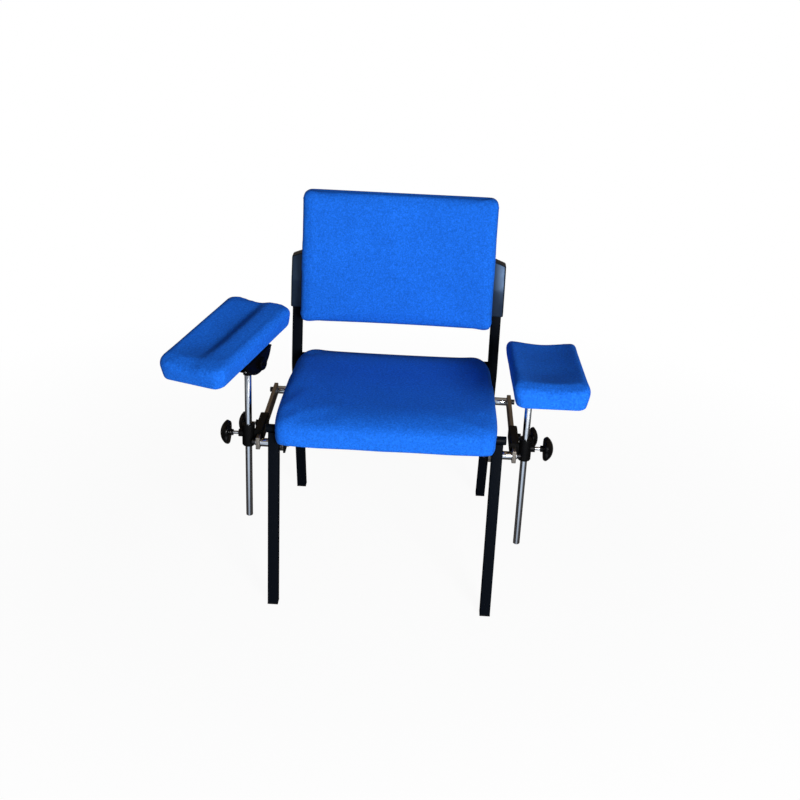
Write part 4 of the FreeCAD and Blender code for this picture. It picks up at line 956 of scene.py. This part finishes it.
seat = cushion("seat_cushion", "seat_pad", out_of((0, 0, SEAT_BASE_Z), ()), on_seat_board,
               voxel=6.0, swell=1.5, cap=2.5, shaped=seat_foam, sag=(0.0, 0.0, 3.0))
dressed(seat, "frame", "blue_fabric", "seat_pad")
back = cushion("back_cushion", "back_pad",
               out_of((0, *BACK_FOOT), (("X", math.degrees(BACK_TURN)),)),
               lambda points: points[:, 2] < BACK_BOARD_TOP,
               voxel=5.0, swell=0.5, cap=4.0, sag=(0.0, 5.0, 0.0))
dressed(back, "frame", "blue_fabric", "back_pad")

# %% Arm pads
POST_X, POST_Y, PIVOT_SETBACK, PAD_ABOVE_PIVOT = 321.5, 72.0, 34.0, 22.0
ARM_HALF_WIDTH, ARM_LENGTH, ARM_HEIGHT, ARM_BEHIND_PIVOT = 82.0, 338.0, 53.0, -6.5
GUTTER_HALF, GUTTER_DEPTH, GUTTER_END_LOSS, ARM_CORNER = 61.0, 12.9, 0.33, 24.0
ROLL_TOP, ROLL_FALL = 0.45, 0.40
FRONT_RUN, REAR_RUN = 130.0, 80.0
FRONT_ROLL, FRONT_ROLL_DROP, REAR_ROLL, REAR_ROLL_DROP = 34.0, 8.0, 24.0, 4.0
ARM_STAPLED, ARM_UPPER_SIDE, ARM_TUCK = 13.5, (30.0, 38.0), 4.0
ARMS = {
    "left": {"z": 574.0, "heading": 20.7, "tilt": 8.7, "offset": 65.0, "crease": 6.0,
             "ends": (0.05, 0.45), "reach": 61.0},
    "right": {"z": 536.0, "heading": 0.8, "tilt": -3.6, "offset": 36.0, "crease": 0.0,
              "ends": (0.30, 0.70), "reach": 72.0},
}


def on_arm_board(points):
    """Points on the board, or low on the sides where the cover is stapled to it."""
    return points[:, 2] < PAD_ABOVE_PIVOT + ARM_STAPLED


def arm_foam(sign, arm):
    """
    Shapes the foam of an arm pad. The gutter's depth falls from 1 in the valley to 0 at the
    crests: in the solid by 1 - u u, where u is the share of the way out. The foam's slopes may
    reach further out. A creased pad has its valley nearer the chair. There it rises as a quarter
    sine to a roll, which then falls a little to the side. Near both ends only a share of the depth
    is left and the foam rolls over. Below, the sides draw in towards the board.
    """
    middle = sign * arm["offset"]
    ends = ARM_BEHIND_PIVOT - ARM_LENGTH / 2, ARM_BEHIND_PIVOT + ARM_LENGTH / 2

    def shaped(points):
        x, y, z = points[:, 0] - middle, points[:, 1], points[:, 2]
        front, rear = y - ends[0], ends[1] - y
        rim = np.clip(1 - np.minimum(front, rear) / ARM_CORNER, 0, 1)
        solid = (1 - np.clip(np.abs(x) / GUTTER_HALF, 0, 1) ** 2) * (
            1 - GUTTER_END_LOSS * (1 - np.sqrt(1 - rim ** 2)))
        outwards = sign * x + arm["crease"]
        half = arm["reach"] + np.sign(outwards) * arm["crease"]
        u = np.clip(np.abs(outwards) / half, 0, 1)
        foam = 1 - u ** 2
        if arm["crease"]:
            roll = ROLL_FALL * np.clip((u - ROLL_TOP) / (1 - ROLL_TOP), 0, 1) ** 1.5
            roll += 1 - np.sin(np.clip(u / ROLL_TOP, 0, 1) * math.pi / 2)
            foam = np.where(outwards < 0, roll, foam)
        for run, reach, share in ((front, FRONT_RUN, arm["ends"][0]),
                                  (rear, REAR_RUN, arm["ends"][1])):
            foam = foam * (share + (1 - share) * eased(run / reach))
        above = np.clip((z - PAD_ABOVE_PIVOT - ARM_UPPER_SIDE[0])
                        / (ARM_UPPER_SIDE[1] - ARM_UPPER_SIDE[0]), 0, 1)
        lift = (GUTTER_DEPTH * (solid - foam)
                - FRONT_ROLL_DROP * np.clip(1 - front / FRONT_ROLL, 0, 1) ** 2
                - REAR_ROLL_DROP * np.clip(1 - rear / REAR_ROLL, 0, 1) ** 2)
        low = np.clip(1 - (z - PAD_ABOVE_PIVOT) / (0.75 * ARM_HEIGHT), 0, 1) ** 1.6
        return np.stack([middle + x * (1 - ARM_TUCK * low / ARM_HALF_WIDTH), y,
                         z + lift * above], axis=1)
    return shaped


def out_of_arm(sign, arm):
    """From an arm's flat frame, with the pivot at its origin, into the scene."""
    return (out_of((sign * POST_X, POST_Y, arm["z"]), (("Z", sign * arm["heading"]),))
            @ Matrix.Translation((0, PIVOT_SETBACK * MM, 0))
            @ Matrix.Rotation(math.radians(arm["tilt"]), 4, "X"))


for side, sign in SIDES.items():
    pad = cushion("arm_cushion_" + side, "arm_pad_" + side, out_of_arm(sign, ARMS[side]),
                  on_arm_board, voxel=4.0, swell=1.5, cap=3.5, shaped=arm_foam(sign, ARMS[side]))
    dressed(pad, "arm_" + side, "blue_fabric", "arm_pad_" + side)

# %% [markdown]
# ## Tilt brackets
# A folded steel bracket joins each arm pad to its pivot: a plate under the board and two half
# moon cheeks. Each is an outline carried a few millimetres along x, with a small round edge.

# %% Plate and cheeks
CHEEK_INNER, CHEEK, PLATE, PLATE_REACH = 11.5, 4.0, 4.0, 46.0
CHEEK_FRONT, CHEEK_REAR, BRACKET_DROP, PLATE_OVERHANG = 62.0, 52.0, 20.0, 2.0


def half_moon(front, rear, top, drop, steps=48):
    """
    An arc through (-front, top), (0, -drop) and (rear, top), closed by a straight edge. With
    a = (rear - front) / 2 and c = (rear + front) / 2, its middle is (a, b), where
    b = (c c + top top - a a - drop drop) / 2 (top + drop).
    """
    a, c = (rear - front) / 2, (rear + front) / 2
    b = (c * c + top * top - a * a - drop * drop) / (2 * (top + drop))
    start = math.atan2(top - b, -c)
    angles = np.linspace(start, -math.pi - start, steps)
    normal = np.stack([np.cos(angles), np.sin(angles)], axis=1)
    return np.array([a, b]) + math.hypot(c, top - b) * normal, normal


bracket_top = PAD_ABOVE_PIVOT - PLATE
moon = half_moon(CHEEK_FRONT, CHEEK_REAR, bracket_top + 1.0, BRACKET_DROP)
depth = CHEEK_FRONT + CHEEK_REAR + 2 * PLATE_OVERHANG
flat, normal = square_outline(depth, PLATE, 1.0)
plate = flat + np.array([(CHEEK_REAR - CHEEK_FRONT) / 2, bracket_top + PLATE / 2]), normal
for side, sign in SIDES.items():
    grids = []
    for outline, x0, x1 in ((moon, -CHEEK_INNER - CHEEK, -CHEEK_INNER),
                            (moon, CHEEK_INNER, CHEEK_INNER + CHEEK),
                            (plate, -CHEEK_INNER - CHEEK, PLATE_REACH)):
        grid = carried(outline, straight((x0, 0, 0), (x1, 0, 0)), Y, 0.9)
        turn = np.array(out_of_arm(sign, ARMS[side]))
        grids.append((grid * np.array([sign, 1, 1]) * MM) @ turn[:3, :3].T + turn[:3, 3])
    dressed(piece_from("folded_bracket_" + side, grids), "arm_" + side, "bracket_black",
            "tilt_bracket_" + side)
print("two brackets", depth, "mm long")
